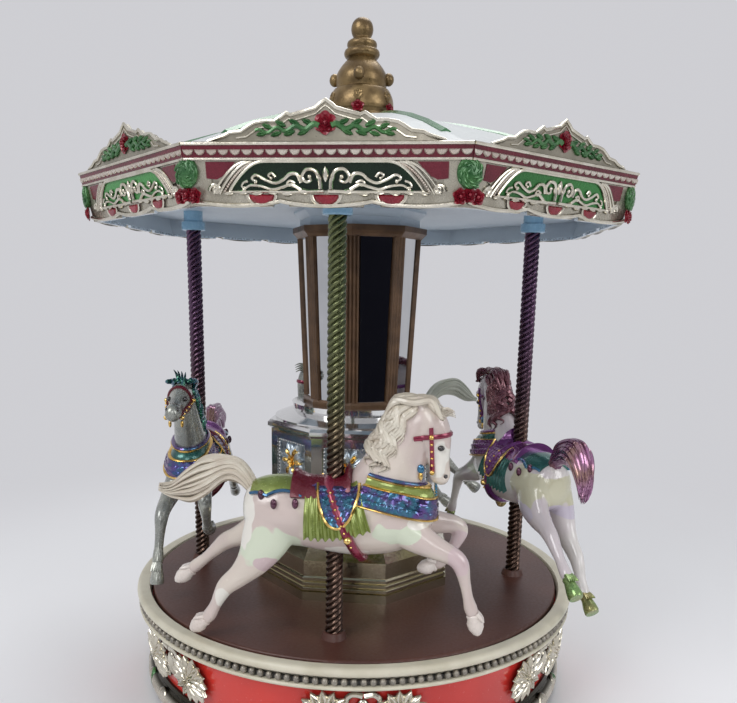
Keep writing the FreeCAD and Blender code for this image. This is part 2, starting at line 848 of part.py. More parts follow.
def drive_hub():
    """Hub under the deck, driven by the barrel's square dog."""
    flange = tube(hub_radius, 0, deck_bottom - hub_height, hub_height)
    spigot = tube(spigot_radius, 0, deck_bottom, deck_thickness)
    half = 0.5 * dog_side + seat_fit
    socket = block((-half, -half, deck_bottom - hub_height), (half, half, barrel_lid_top + dog_height + seat_fit))
    hub = flange.fuse(spigot).cut(socket)
    return rod_hole(hub)


def plinth():
    """Chrome octagon under the drum, hollow: band, three beads, fascia and chamfer."""
    levels = [(plinth_radius, deck_top), (plinth_radius, deck_top + plinth_step)]
    low = deck_top + plinth_step
    inset = 0.5 * plinth_bead
    for bead in range(3):
        start = low + bead * plinth_bead
        levels.append((plinth_radius - inset, start + 0.01))
        levels.append((plinth_radius - 0.3 * inset, start + 0.25 * plinth_bead))
        levels.append((plinth_radius - 0.3 * inset, start + 0.75 * plinth_bead))
        levels.append((plinth_radius - inset, start + 0.99 * plinth_bead))
    top = low + 3 * plinth_bead
    levels.append((plinth_radius - 1.2 * inset, top))
    levels.append((plinth_radius - 1.2 * inset, top + plinth_fascia))
    levels.append((drum_radius + plinth_shoulder, drum_bottom))
    hollow = octagon_stack([
        (plinth_radius - plinth_wall, deck_top), (plinth_radius - plinth_wall, top + 0.5 * plinth_fascia),
        (drum_radius + plinth_shoulder - plinth_wall, drum_bottom - tower_plate)])
    return rod_hole(octagon_stack(levels).cut(hollow))


def drum_panel_levels():
    """Middle heights of the drum's two rows of panels."""
    middle = drum_bottom + 0.5 * drum_height
    shift = 0.5 * (drum_panel_height + drum_panel_gap)
    return (middle - shift, middle + shift)


def drum():
    """Chrome drum: two rows of sunk panels on each side and a stepped rim."""
    body = octagon_stack([
        (drum_radius, drum_bottom), (drum_radius, drum_bottom + drum_height),
        (drum_rim_radius, drum_bottom + drum_height + 0.3 * drum_rim),
        (drum_rim_radius, drum_top_level - 0.3 * drum_rim), (drum_rim_radius - drum_rim_step, drum_top_level)])
    hollow = octagon_stack([(drum_radius - drum_wall, drum_bottom), (drum_radius - drum_wall, drum_top_level)])
    face = drum_radius * side_cosine
    cuts = []
    for level in drum_panel_levels():
        sunk = block((-0.5 * drum_panel_width, -face - drum_panel_depth, level - 0.5 * drum_panel_height),
                     (0.5 * drum_panel_width, -face + drum_panel_depth, level + 0.5 * drum_panel_height))
        cuts += ring_of(sunk, octagon_sides)
    return body.cut(Part.makeCompound(cuts + [hollow]))


def drum_flowers():
    """Gold five-petalled flowers with leaves, one in each sunk panel."""
    face = drum_radius * side_cosine - drum_panel_depth
    petal = Part.makeCylinder(petal_radius, petal_depth, Vector(0, 0, 0), Vector(0, -1, 0))
    petals = []
    for step in range(petal_count):
        copy = petal.copy()
        angle = 2 * math.pi * step / petal_count
        copy.translate(Vector(petal_circle * math.sin(angle), 0, petal_circle * math.cos(angle)))
        petals.append(copy)
    heart = Part.makeCone(heart_radius, heart_tip, heart_depth, Vector(0, 0, 0), Vector(0, -1, 0))
    flower = petals[0].multiFuse(petals[1:] + [heart])
    flowers = []
    for level in drum_panel_levels():
        one = flower.copy()
        one.translate(Vector(0, -face, level))
        flowers += ring_of(one, octagon_sides)
    return flowers


def drum_top():
    """Chrome cone on the drum with the dish that the column stands in."""
    wide = (drum_rim_radius - drum_rim_step) * side_cosine
    foot = column_foot_radius + dish_gap
    under = column_bottom - tower_plate
    cone = revolve([
        (0, under), (foot, under), (wide - 1.5 * tower_plate, drum_top_level), (wide, drum_top_level),
        (wide, drum_top_level + drum_top_edge), (foot + dish_fall, under),
        (foot + dish_lip, column_bottom + dish_depth), (foot, column_bottom + dish_depth),
        (foot, column_bottom), (0, column_bottom)])
    return rod_hole(cone)


def pilaster_section(radius, z):
    """Outline of one fluted pilaster at a height, its face at the given radius."""
    half = pilaster_half_width
    outline = [(-half, -pilaster_depth), (-half, 0)]
    for groove in range(3):
        middle = half * (groove - 1) * 0.6
        outline += [(middle - 0.2 * half, 0), (middle, -flute_depth), (middle + 0.2 * half, 0)]
    outline += [(half, 0), (half, -pilaster_depth)]
    corners = [Vector(across, -(radius + depth), z) for across, depth in outline]
    return Part.makePolygon(corners + corners[:1])


def column_radius_at(z):
    """Corner radius of the column at a height."""
    share = (z - column_bottom) / column_height
    return column_foot_radius + share * (column_head_radius - column_foot_radius)


def column_frame():
    """Bronze frame of the column: foot ring, fluted pilasters and cornice."""
    low = column_bottom + column_ring
    proud = column_foot_radius + column_ring_proud
    foot = octagon_stack([(proud, column_bottom), (proud, low - column_ring_proud),
                          (column_foot_radius + column_ring_top, low)], 0)
    cornice = octagon_stack([
        (column_head_radius + column_ring_top, column_top),
        (column_head_radius + 0.5 * cornice_overhang, column_top + 0.25 * cornice_height),
        (column_head_radius + cornice_overhang, column_top + 0.5 * cornice_height),
        (column_head_radius + cornice_overhang, head_bottom)], 0)
    inner_low = column_foot_radius - pilaster_depth - column_ring_proud
    inner_high = column_head_radius - pilaster_depth - column_ring_proud
    open_low = octagon_stack([(inner_low, column_bottom), (inner_low, low)], 0)
    open_high = octagon_stack([(inner_high, column_top), (inner_high, head_bottom)], 0)
    pilaster = Part.makeLoft([pilaster_section(column_radius_at(z), z) for z in (low, column_top)], True, True)
    return foot.cut(open_low).multiFuse([cornice.cut(open_high)] + ring_of(pilaster, octagon_sides))


def mirror_panels():
    """Eight mirrors between the pilasters, leaning with the column's taper."""
    low = column_bottom + column_ring
    wires = []
    for z in (low, column_top):
        radius = column_radius_at(z)
        face = radius * side_cosine - mirror_inset
        half = radius * side_sine - pilaster_half_width - mirror_side_gap
        corners = [Vector(-half, -face, z), Vector(half, -face, z),
                   Vector(half, -face + mirror_thickness, z), Vector(-half, -face + mirror_thickness, z)]
        wires.append(Part.makePolygon(corners + corners[:1]))
    panel = Part.makeLoft(wires, True, True)
    return ring_of(panel, octagon_sides, half_side)


def column_head():
    """Pale head between the cornice and the ceiling."""
    neck = column_head_radius - head_neck
    flare = column_head_radius + head_flare
    head = octagon_stack([
        (neck, head_bottom), (neck, head_bottom + 0.5 * head_height),
        (flare, ceiling_bottom - head_edge), (flare, ceiling_bottom)], 0)
    return rod_hole(head)


def fascia_inner_at(z):
    """Corner radius of the fascia's inner wall at a height."""
    share = (z - fascia_bottom) / fascia_height
    outer = fascia_bottom_radius + share * (fascia_top_radius - fascia_bottom_radius)
    return outer - fascia_wall / side_cosine


def ceiling():
    """Pale ceiling plate with the holes of the poles."""
    plate = octagon_stack([(fascia_inner_at(z), z) for z in (ceiling_bottom, ceiling_top)])
    hole = Part.makeCylinder(pole_radius + seat_fit, 4 * ceiling_thickness,
                             Vector(0, -pole_circle, ceiling_bottom - ceiling_thickness))
    return rod_hole(plate.cut(Part.makeCompound(ring_of(hole, 4))))


def pole_collars():
    """Sky-blue flanged collars that hold the poles under the ceiling."""
    bottom = ceiling_bottom - collar_height
    profile = revolve([
        (pole_radius + seat_fit, bottom), (collar_flange_radius - collar_round, bottom),
        (collar_flange_radius, bottom + collar_round),
        (collar_flange_radius, bottom + collar_flange_height - collar_round),
        (collar_flange_radius - collar_round, bottom + collar_flange_height),
        (collar_neck_radius, bottom + collar_flange_height), (collar_neck_radius, ceiling_bottom),
        (pole_radius + seat_fit, ceiling_bottom)])
    profile.translate(Vector(0, -pole_circle, 0))
    return ring_of(profile, 4)


def on_fascia(shape):
    """Shape drawn on the XZ plane, y outwards negative, laid on the front panel's slope."""
    tilt = math.degrees(math.atan(fascia_slope))
    placed = shape.copy()
    placed.rotate(Vector(0, 0, 0), Vector(1, 0, 0), tilt)
    placed.translate(Vector(0, -fascia_bottom_radius * side_cosine, fascia_bottom))
    return placed


def field_outline():
    """Sunk field of a panel: a trapezoid with hollow shoulders."""
    half = fascia_bottom_radius * side_sine - field_side
    top_half = half - field_shoulder
    outline = [(-half, field_low), (half, field_low), (half, field_shoulder_level), (top_half, field_high),
               (-top_half, field_high), (-half, field_shoulder_level)]
    corners = [Vector(across, 0, up) for across, up in outline]
    edges = [line(corners[0], corners[1]), line(corners[1], corners[2])]
    bow = Vector(half - field_bow, 0, field_bow_level)
    edges.append(arc(corners[2], bow, corners[3]))
    edges.append(line(corners[3], corners[4]))
    edges.append(arc(corners[4], Vector(-bow.x, 0, bow.z), corners[5]))
    edges.append(line(corners[5], corners[0]))
    return Part.Wire(edges)


def fascia_body():
    """Whole octagon of the fascia, before it is hollowed."""
    return octagon_stack([(fascia_bottom_radius, fascia_bottom), (fascia_top_radius, fascia_top)])


def fascia():
    """Octagonal fascia: sloped panels with sunk fields and a swagged lower edge."""
    inside = octagon_stack([(fascia_inner_at(z), z) for z in (fascia_bottom, fascia_top)])
    side = fascia_bottom_radius * side_sine
    sunk = prism(field_outline(), Vector(0, field_depth + fascia_wall, 0))
    sunk.translate(Vector(0, -fascia_wall, 0))
    cuts = ring_of(on_fascia(sunk), octagon_sides)
    swag = 2 * side / 3
    for notch in (-0.5, 0.5):
        start = Vector(notch * swag, 3 * fascia_wall, -0.3 * swag_notch)
        drill = Part.makeCylinder(swag_notch, 6 * fascia_wall, start, Vector(0, -1, 0))
        cuts += ring_of(on_fascia(drill), octagon_sides)
    return fascia_body().cut(inside).cut(Part.makeCompound(cuts))


def crest_gables():
    """Wavy crests that stand on the fascia, each with a rose at its middle."""
    def spot(across, up):
        return Vector(across * gable_half_width, 0, up * gable_height)
    right = [spot(1.0, 0), spot(1.0, 0.2), spot(0.8, 0.5), spot(0.58, 0.45),
             spot(0.58, 0.6), spot(0.38, 0.86), spot(0.18, 0.82), spot(0, 1.0)]
    left = [Vector(-corner.x, 0, corner.z) for corner in right]
    edges = [line(left[0], right[0]), line(right[0], right[1]), arc(right[1], right[2], right[3]),
             line(right[3], right[4]), arc(right[4], right[5], right[6]), arc(right[6], right[7], left[6]),
             arc(left[6], left[5], left[4]), line(left[4], left[3]), arc(left[3], left[2], left[1]),
             line(left[1], left[0])]
    plate = prism(Part.Wire(edges), Vector(0, gable_thickness, 0))
    rose = Part.makeSphere(rose_radius, Vector(0, rose_sink, 0.5 * gable_height))
    rose = rose.common(block((-gable_half_width, -rose_radius, 0), (gable_half_width, gable_thickness, gable_height)))
    crest = plate.fuse(rose)
    crest.translate(Vector(0, -fascia_top_radius * side_cosine + 2 * seat_fit, fascia_top))
    return ring_of(crest, octagon_sides)


def corner_shields():
    """Oval shields on the fascia's corners, hollowed behind to sit on the edge."""
    middle = fascia_bottom + 0.5 * fascia_height
    radius = 0.5 * (fascia_bottom_radius + fascia_top_radius)
    oval = Part.Ellipse(Vector(0, 0, 0), 0.5 * shield_height, 0.5 * shield_width)
    wire = Part.Wire([oval.toShape()])
    shield = prism(wire, Vector(0, 0, radius))
    matrix = Matrix()
    matrix.rotateY(-0.5 * math.pi)
    shield = shield.transformGeometry(matrix)
    shield.rotate(Vector(0, 0, 0), Vector(0, 0, 1), 180)
    shield.translate(Vector(shield_proud, 0, middle))
    keep = tube(radius + shield_proud, 0, middle - shield_height, 2 * shield_height)
    one = turned(shield, half_side).common(keep).cut(fascia_body())
    return ring_of(one, octagon_sides)


def roof_levels(drop):
    """Corner radii and heights of the domed roof, lowered by the wall for its inside."""
    foot = fascia_top_radius - roof_set_in
    levels = []
    for step in range(roof_steps + 1):
        share = step / roof_steps
        radius = foot + share * (finial_radius + roof_crown - foot)
        climb = (1 + roof_bulge) * share - roof_bulge * share ** 2
        levels.append((radius, fascia_top + roof_rise * climb - drop))
    return levels


def roof_body():
    """Domed roof before it is hollowed, its eave set into the fascia's top."""
    eave = [(fascia_inner_at(fascia_top - roof_wall) - seat_fit, fascia_top - roof_wall),
            (fascia_inner_at(fascia_top) - seat_fit, fascia_top)]
    return octagon_stack(eave + roof_levels(0)[1:])


def roof():
    """Octagonal dome, hollow, with an eave that sits in the fascia's top."""
    inner_corner = fascia_inner_at(fascia_top - roof_wall) - seat_fit
    hollow = octagon_stack([(inner_corner - roof_wall, fascia_top - roof_wall)]
                           + [(radius - roof_wall, z) for radius, z in roof_levels(roof_wall)[1:-1]])
    return rod_hole(roof_body().cut(hollow))


def roof_ribs():
    """Green ribs along the roof's eight edges, hollowed underneath to sit on them."""
    half = 0.5 * rib_width
    wires = []
    for radius, z in roof_levels(0)[1:-1]:
        corners = [Vector(radius, -half, z - rib_width), Vector(radius, half, z - rib_width),
                   Vector(radius, half, z), Vector(radius, 0, z + rib_proud), Vector(radius, -half, z)]
        wires.append(Part.makePolygon(corners + corners[:1]))
    rib = turned(Part.makeLoft(wires, True, True), half_side).cut(roof_body())
    return ring_of(rib, octagon_sides)


def finial():
    """Gold finial: knob, two rings, a bell with four lugs and a scrolled ring on a foot, bored for the rod."""
    def spot(across, up):
        return Vector(across * finial_radius, 0, finial_bottom + up * finial_height)
    bore = (rod_radius + seat_fit) / finial_radius
    seat = Vector(rod_radius + seat_fit, 0, roof_top)
    foot = Vector(finial_foot_radius, 0, roof_top)
    ankle = Vector(finial_foot_radius, 0, finial_bottom)
    top = finial_bottom + finial_height
    neck = Vector(finial_neck, 0, top - finial_knob - math.sqrt(finial_knob ** 2 - finial_neck ** 2))
    edges = [
        line(seat, foot), line(foot, ankle), line(ankle, spot(1, 0)), line(spot(1, 0), spot(1, 0.1)),
        arc(spot(1, 0.1), spot(0.93, 0.2), spot(0.78, 0.24)),
        arc(spot(0.78, 0.24), spot(0.72, 0.4), spot(0.42, 0.56)),
        line(spot(0.42, 0.56), spot(0.52, 0.57)), arc(spot(0.52, 0.57), spot(0.57, 0.62), spot(0.44, 0.67)),
        arc(spot(0.44, 0.67), spot(0.48, 0.72), neck),
        arc(neck, Vector(finial_knob, 0, top - finial_knob), spot(0, 1)),
        line(spot(0, 1), spot(0, 0.5)), line(spot(0, 0.5), spot(bore, 0.5)), line(spot(bore, 0.5), seat)]
    body = Part.Face(Part.Wire(edges)).revolve(Vector(0, 0, 0), Vector(0, 0, 1), 360)
    lug = Part.makeSphere(finial_lug, spot(0.74, 0.34))
    return turned(body, half_side).multiFuse(ring_of(lug, 4))


def centre_rod():
    """Rod that clamps the tower from the hub to the finial."""
    bottom = barrel_lid_top + dog_height + lift
    return tube(rod_radius, 0, bottom, finial_bottom + 0.5 * finial_height - bottom)


def rod_nut():
    """Hexagon nut under the ceiling's upper side that takes the rod's pull."""
    corners = [point(rod_nut_radius, 60.0 * step, ceiling_top) for step in range(6)]
    nut = prism(Part.makePolygon(corners + corners[:1]), Vector(0, 0, rod_nut_height))
    return rod_hole(nut)


def pole():
    """Front pole with its barley twist: three round starts wound up the length."""
    bottom = deck_bottom + socket_floor
    top = ceiling_top
    corners = 2 * pole_starts
    steps = int(round((top - bottom) / (pole_lead / 6)))
    wires = []
    for step in range(steps + 1):
        z = bottom + (top - bottom) * step / steps
        twist = 360.0 * (z - bottom) / pole_lead
        ring = []
        for corner in range(corners):
            radius = pole_radius if corner % 2 == 0 else pole_waist
            ring.append(point(radius, twist + 360.0 * corner / corners, z))
        wires.append(Part.makePolygon(ring + ring[:1]))
    twisted = Part.makeLoft(wires, True, True)
    twisted.translate(Vector(0, -pole_circle, 0))
    return twisted


# Horses, drawn heading +X with the pole's axis at the origin and heights from the deck

# Rows of the barrel: x, z, half height, half width
barrel_rows = [
    (-29.5, 44.5, 5.0, 4.2), (-27.0, 44.2, 8.6, 7.4), (-20.0, 43.8, 11.2, 9.8), (-10.0, 43.2, 11.9, 10.6),
    (2.0, 42.8, 12.4, 10.8), (12.0, 43.0, 12.8, 10.4), (21.0, 44.0, 12.2, 9.4), (28.0, 45.0, 9.6, 7.4),
    (31.5, 45.5, 5.4, 4.4)]
# Rows of a limb: x, y, z, half size along the bend, half size across
reaching_fore = [
    (24.0, -5.0, 41.0, 6.2, 4.2), (31.0, -6.4, 36.5, 4.3, 3.2), (40.0, -7.4, 33.0, 2.9, 2.6),
    (43.0, -8.0, 24.0, 1.9, 1.8), (45.0, -8.4, 17.0, 2.1, 2.0), (46.0, -8.4, 13.5, 2.5, 2.4),
    (47.2, -8.4, 8.5, 3.2, 3.0)]
folded_fore = [
    (24.0, 5.0, 41.0, 6.2, 4.2), (32.0, 7.0, 39.5, 4.3, 3.2), (41.5, 8.8, 39.0, 2.9, 2.6),
    (39.0, 8.8, 31.0, 1.9, 1.8), (34.5, 8.4, 25.5, 2.1, 2.0), (31.5, 8.2, 23.5, 2.5, 2.4),
    (27.0, 8.0, 22.5, 3.2, 3.0)]
low_hind = [
    (-20.0, -4.8, 42.0, 8.4, 4.8), (-24.0, -6.0, 33.0, 6.4, 4.0), (-31.0, -6.6, 24.0, 3.8, 2.8),
    (-35.0, -6.8, 17.5, 2.9, 2.4), (-39.0, -6.8, 10.5, 2.0, 1.9), (-42.5, -6.8, 7.0, 2.3, 2.1),
    (-46.0, -6.8, 4.8, 3.0, 2.9)]
high_hind = [
    (-20.0, 4.8, 42.0, 8.4, 4.8), (-26.0, 6.0, 36.0, 6.4, 4.0), (-33.0, 6.6, 32.0, 3.8, 2.8),
    (-39.0, 6.8, 29.5, 2.9, 2.4), (-47.0, 6.8, 23.0, 2.0, 1.9), (-51.5, 6.8, 19.0, 2.3, 2.1),
    (-56.0, 6.8, 14.8, 3.1, 2.9)]
tucked_neck = [
    (14.0, 0.0, 47.0, 12.5, 7.4), (18.0, 0.0, 57.0, 10.6, 6.0), (21.5, 0.0, 66.0, 8.4, 4.9),
    (25.0, 0.0, 73.5, 6.4, 4.2), (28.0, 0.0, 78.0, 4.6, 3.4)]
tucked_head = [
    (26.0, 0.0, 79.0, 4.0, 3.2), (30.0, 0.0, 74.5, 5.4, 4.2), (32.0, 0.0, 68.5, 4.8, 3.7),
    (33.0, 0.0, 62.5, 3.4, 2.9), (33.4, 0.0, 58.0, 3.3, 3.0), (33.4, 0.0, 55.4, 2.2, 2.0)]
raised_neck = [
    (14.0, 0.0, 47.0, 12.5, 7.4), (19.5, 0.0, 56.5, 10.2, 6.0), (25.0, 0.0, 65.0, 8.0, 4.9),
    (29.5, 0.0, 71.5, 6.0, 4.2), (32.0, 0.0, 75.0, 4.4, 3.4)]
raised_head = [
    (29.5, 0.0, 76.0, 4.0, 3.2), (34.5, 0.0, 74.5, 5.4, 4.2), (40.0, 0.0, 73.0, 4.6, 3.7),
    (45.0, 0.0, 72.2, 3.4, 2.9), (48.6, 0.0, 71.6, 3.3, 3.0), (50.8, 0.0, 71.2, 2.2, 2.0)]
streaming_tail = [
    (-26.0, 0.0, 50.0, 3.0, 2.6), (-31.5, 0.0, 56.5, 3.4, 2.8), (-38.0, 0.0, 58.8, 3.8, 3.0),
    (-45.5, 0.0, 57.0, 3.8, 3.0), (-53.0, 0.0, 52.6, 3.0, 2.4), (-58.5, 0.0, 49.6, 1.2, 1.0)]
curled_tail = [
    (-25.5, 0.0, 50.5, 3.0, 2.6), (-29.0, 0.0, 57.0, 3.4, 2.8), (-35.5, 0.0, 60.4, 3.8, 3.4),
    (-42.5, 0.0, 59.2, 4.2, 3.8), (-47.0, 0.0, 54.2, 3.8, 3.6), (-47.2, 0.0, 48.4, 2.2, 2.0)]
lofty_tail = [
    (-26.0, 0.0, 50.0, 3.0, 2.6), (-30.0, 0.0, 59.5, 3.4, 2.8), (-36.5, 0.0, 66.6, 3.8, 3.0),
    (-44.5, 0.0, 67.6, 3.8, 3.0), (-51.5, 0.0, 63.8, 3.0, 2.4), (-56.5, 0.0, 60.4, 1.2, 1.0)]
right_turn = 22.0
back_turn = 22.0
left_turn = 7.5
horse_bore_length = 120.0
mane_width = 2.2
mane_rise = 2.4
ear_radius = 1.5
ear_tip = 0.3
ear_length = 4.6
ear_spread = 2.0
blanket_proud = 0.9
blanket_start = -15.0
blanket_end = 13.0
blanket_half = 13.2
blanket_hem = 36.0
blanket_top = 72.0
cantle_place = -13.5
cantle_lean = -1.6
pommel_place = 7.5
pommel_lean = 1.4
saddle_top = 53.6
saddle_sink = 2.0
saddle_rise = 3.2
saddle_foot = (2.6, 6.0)
saddle_waist = (1.8, 4.8)
saddle_tip = (1.0, 3.0)


def oval(centre, across, along, half_across, half_along):
    """Closed smooth section about a centre, by two directions and half sizes."""
    spots = []
    for step in range(octagon_sides):
        angle = 2 * math.pi * step / octagon_sides
        spots.append(centre + across * (half_across * math.cos(angle)) + along * (half_along * math.sin(angle)))
    curve = Part.BSplineCurve()
    curve.interpolate(spots, True)
    return Part.Wire([curve.toShape()])


def limb(rows):
    """Lofted limb through rows of centre and half sizes, its sections square to its run."""
    centres = [Vector(row[0], row[1], row[2]) for row in rows]
    side = Vector(0, 1, 0)
    wires = []
    for index, row in enumerate(rows):
        before = centres[max(index - 1, 0)]
        after = centres[min(index + 1, len(rows) - 1)]
        run = (after - before).normalize()
        across = side.cross(run).normalize()
        wires.append(oval(centres[index], across, side, row[3], row[4]))
    return Part.makeLoft(wires, True, False)


def trunk(rows, grow=0.0):
    """Lofted barrel of the body through upright sections, grown by a cover's thickness."""
    up = Vector(0, 0, 1)
    side = Vector(0, 1, 0)
    wires = [oval(Vector(x, 0, z), up, side, tall + grow, wide + grow) for x, z, tall, wide in rows]
    return Part.makeLoft(wires, True, False)


def other_side(rows):
    """Rows of a limb on the other side of the horse."""
    return [(x, -y, z, along, across) for x, y, z, along, across in rows]


def crest_rows(neck):
    """Rows of the mane, along the back edge of the neck."""
    rows = []
    for x, y, z, deep, wide in neck[1:]:
        lean = 0.8 * deep
        rows.append((x - 0.86 * lean, y, z + 0.5 * lean, mane_rise, mane_width))
    return rows


def saddle():
    """Blanket that follows the barrel, with the saddle's cantle and pommel on it."""
    cover = trunk(barrel_rows, blanket_proud)
    keep = block((blanket_start, -blanket_half, blanket_hem), (blanket_end, blanket_half, blanket_top))
    ahead = Vector(1, 0, 0)
    side = Vector(0, 1, 0)
    seats = []
    for place, lean in ((cantle_place, cantle_lean), (pommel_place, pommel_lean)):
        seats.append(Part.makeLoft([
            oval(Vector(place, 0, saddle_top - saddle_sink), ahead, side, *saddle_foot),
            oval(Vector(place + 0.5 * lean, 0, saddle_top + 0.5 * saddle_rise), ahead, side, *saddle_waist),
            oval(Vector(place + lean, 0, saddle_top + saddle_rise), ahead, side, *saddle_tip)], True, False))
    return [cover.common(keep)] + seats


def horse(neck, head, tail, fore_legs):
    """One moulded horse: barrel, neck, head, ears, legs, mane, tail and saddle, bored for its pole."""
    pieces = [limb(neck), limb(head), limb(tail), limb(crest_rows(neck))]
    pieces += [limb(rows) for rows in fore_legs + (low_hind, high_hind)]
    poll = Vector(head[0][0], 0, head[0][2])
    for side in (-1, 1):
        root = poll + Vector(-ear_tip, ear_spread * side, ear_radius)
        pieces.append(Part.makeCone(ear_radius, ear_tip, ear_length, root, Vector(-0.2, 0.25 * side, 1)))
    pieces += saddle()
    body = trunk(barrel_rows).multiFuse(pieces)
    body = body.cut(Part.makeCylinder(pole_radius + seat_fit, horse_bore_length))
    return max(body.Solids, key=lambda solid: solid.Volume)


def stood(figure, turn, degrees):
    """Horse turned on its pole, then set at a pole's angle about the tower."""
    placed = turned(figure, turn)
    placed.translate(Vector(0, -pole_circle, deck_top))
    return turned(placed, degrees)


def main():
    """Build every piece in place and write one file for each."""
    os.makedirs("parts", exist_ok=True)
    builders = [
        base_shell, rim_ring, bottom_moulding, bottom_cover, cover_screws, plate_screws, feet, slip_ring,
        bedplate, click, cylinder_bearings, governor_frame, comb_block, comb, comb_screws,
        spring_barrel, mainspring, winding_arbor, ratchet_wheel, winding_key,
        pinned_cylinder, crown_pinion, cylinder_wheel, governor_wheel, governor_worm,
        deck, drive_hub, plinth, drum, drum_flowers, drum_top, column_frame, mirror_panels, column_head,
        ceiling, pole_collars, fascia, crest_gables, corner_shields, roof, roof_ribs, finial, centre_rod, rod_nut]
    for builder in builders:
        export(builder.__name__, builder())
    export("base_cartouches", cartouches())
    twisted = pole()
    outer_lead = (reaching_fore, folded_fore)
    inner_lead = (other_side(reaching_fore), other_side(folded_fore))
    places = (
        ("front", 0, 0.0, horse(tucked_neck, tucked_head, streaming_tail, outer_lead)),
        ("right", 90, right_turn, horse(tucked_neck, tucked_head, curled_tail, inner_lead)),
        ("back", 180, back_turn, horse(tucked_neck, tucked_head, lofty_tail, outer_lead)),
        ("left", 270, left_turn, horse(raised_neck, raised_head, streaming_tail, outer_lead)))
    for name, degrees, turn, figure in places:
        export("pole_" + name, turned(twisted, degrees))
        export("horse_" + name, stood(figure, turn, degrees))


main()
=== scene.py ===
import logging
from dataclasses import dataclass, field
from enum import Enum
from math import degrees as in_degrees
from math import cos, exp, floor, pi, radians, sin, sqrt
from typing import Callable, Optional, Sequence

import bmesh
import bpy
import numpy as np
from mathutils import Matrix, Vector
from mathutils.bvhtree import BVHTree


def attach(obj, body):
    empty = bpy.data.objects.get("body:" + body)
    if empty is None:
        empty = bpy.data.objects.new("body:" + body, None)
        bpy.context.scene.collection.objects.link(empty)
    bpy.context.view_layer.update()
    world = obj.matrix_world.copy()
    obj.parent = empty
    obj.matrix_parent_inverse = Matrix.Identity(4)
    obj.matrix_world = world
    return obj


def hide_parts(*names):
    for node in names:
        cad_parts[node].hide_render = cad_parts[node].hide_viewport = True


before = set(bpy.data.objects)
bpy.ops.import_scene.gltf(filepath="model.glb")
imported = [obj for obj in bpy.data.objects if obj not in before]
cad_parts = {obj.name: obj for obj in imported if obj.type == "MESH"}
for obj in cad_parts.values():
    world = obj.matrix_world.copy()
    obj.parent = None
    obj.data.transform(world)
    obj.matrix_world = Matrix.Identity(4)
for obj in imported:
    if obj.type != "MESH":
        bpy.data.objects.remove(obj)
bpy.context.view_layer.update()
LOG = logging.getLogger("carousel")
MM = 0.001
TAU = 2.0 * pi
GOLDEN_ANGLE = 2.39996
COAT_ROUGHNESS = 0.08
GLANCE_FACING = (0.12, 0.6)
UP, SIDE = Vector((0, 0, 1)), Vector((0, 1, 0))
Colour = tuple[float, float, float]
Row = tuple[float, ...]
Socket = bpy.types.NodeSocket


class Body(Enum):
    """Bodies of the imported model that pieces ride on."""

    BASE = "base"
    TURNTABLE = "turntable"


class NodeTree:
    """Small helper that adds and wires nodes in one tree."""

    def __init__(self, tree: bpy.types.NodeTree) -> None:
        """Keep the tree."""
        self.tree = tree

    def add(self, kind: str, **values: object) -> bpy.types.Node:
        """Add a node.

        Args:
            kind: Blender's node type name.
            values: Node properties to set.

        Returns:
            The new node.
        """
        node = self.tree.nodes.new(kind)
        for name, value in values.items():
            setattr(node, name, value)
        return node

    def feed(self, node: bpy.types.Node, *places: object, **values: object) -> bpy.types.Node:
        """Wire or set a node's inputs.

        Args:
            node: The node.
            places: Sockets or plain values for the first inputs, in order.
            values: The same by input name, where an underscore stands for a space.

        Returns:
            The same node.
        """
        named = [(node.inputs[name.replace("_", " ")], value) for name, value in values.items()]
        for socket, value in [*zip(node.inputs, places), *named]:
            if isinstance(value, Socket):
                self.tree.links.new(value, socket)
            else:
                socket.default_value = (*value, 1.0) if socket.type == "RGBA" else value
        return node

    def calc(self, operation: str, *terms: object) -> Socket:
        """Result of a maths node on sockets and plain numbers."""
        return self.feed(self.add("ShaderNodeMath", operation=operation), *terms).outputs[0]

    def vector(self, operation: str, *terms: object) -> bpy.types.Node:
        """Vector maths node on sockets and plain vectors."""
        return self.feed(self.add("ShaderNodeVectorMath", operation=operation), *terms)

    def ramp(self, value: Socket, low: object, high: object) -> Socket:
        """Smooth rise from 0 to 1 between two values."""
        node = self.add("ShaderNodeMapRange", interpolation_type="SMOOTHSTEP")
        return self.feed(node, Value=value, From_Min=low, From_Max=high).outputs["Result"]

    def blend(self, share: Socket, first: object, second: object) -> Socket:
        """Mix of two colours."""
        node = self.add("ShaderNodeMix", data_type="RGBA")
        return self.feed(node, Factor=share, A=first, B=second).outputs["Result"]

    def noise(self, **values: object) -> Socket:
        """Value of a noise texture."""
        return self.feed(self.add("ShaderNodeTexNoise"), **values).outputs["Fac"]


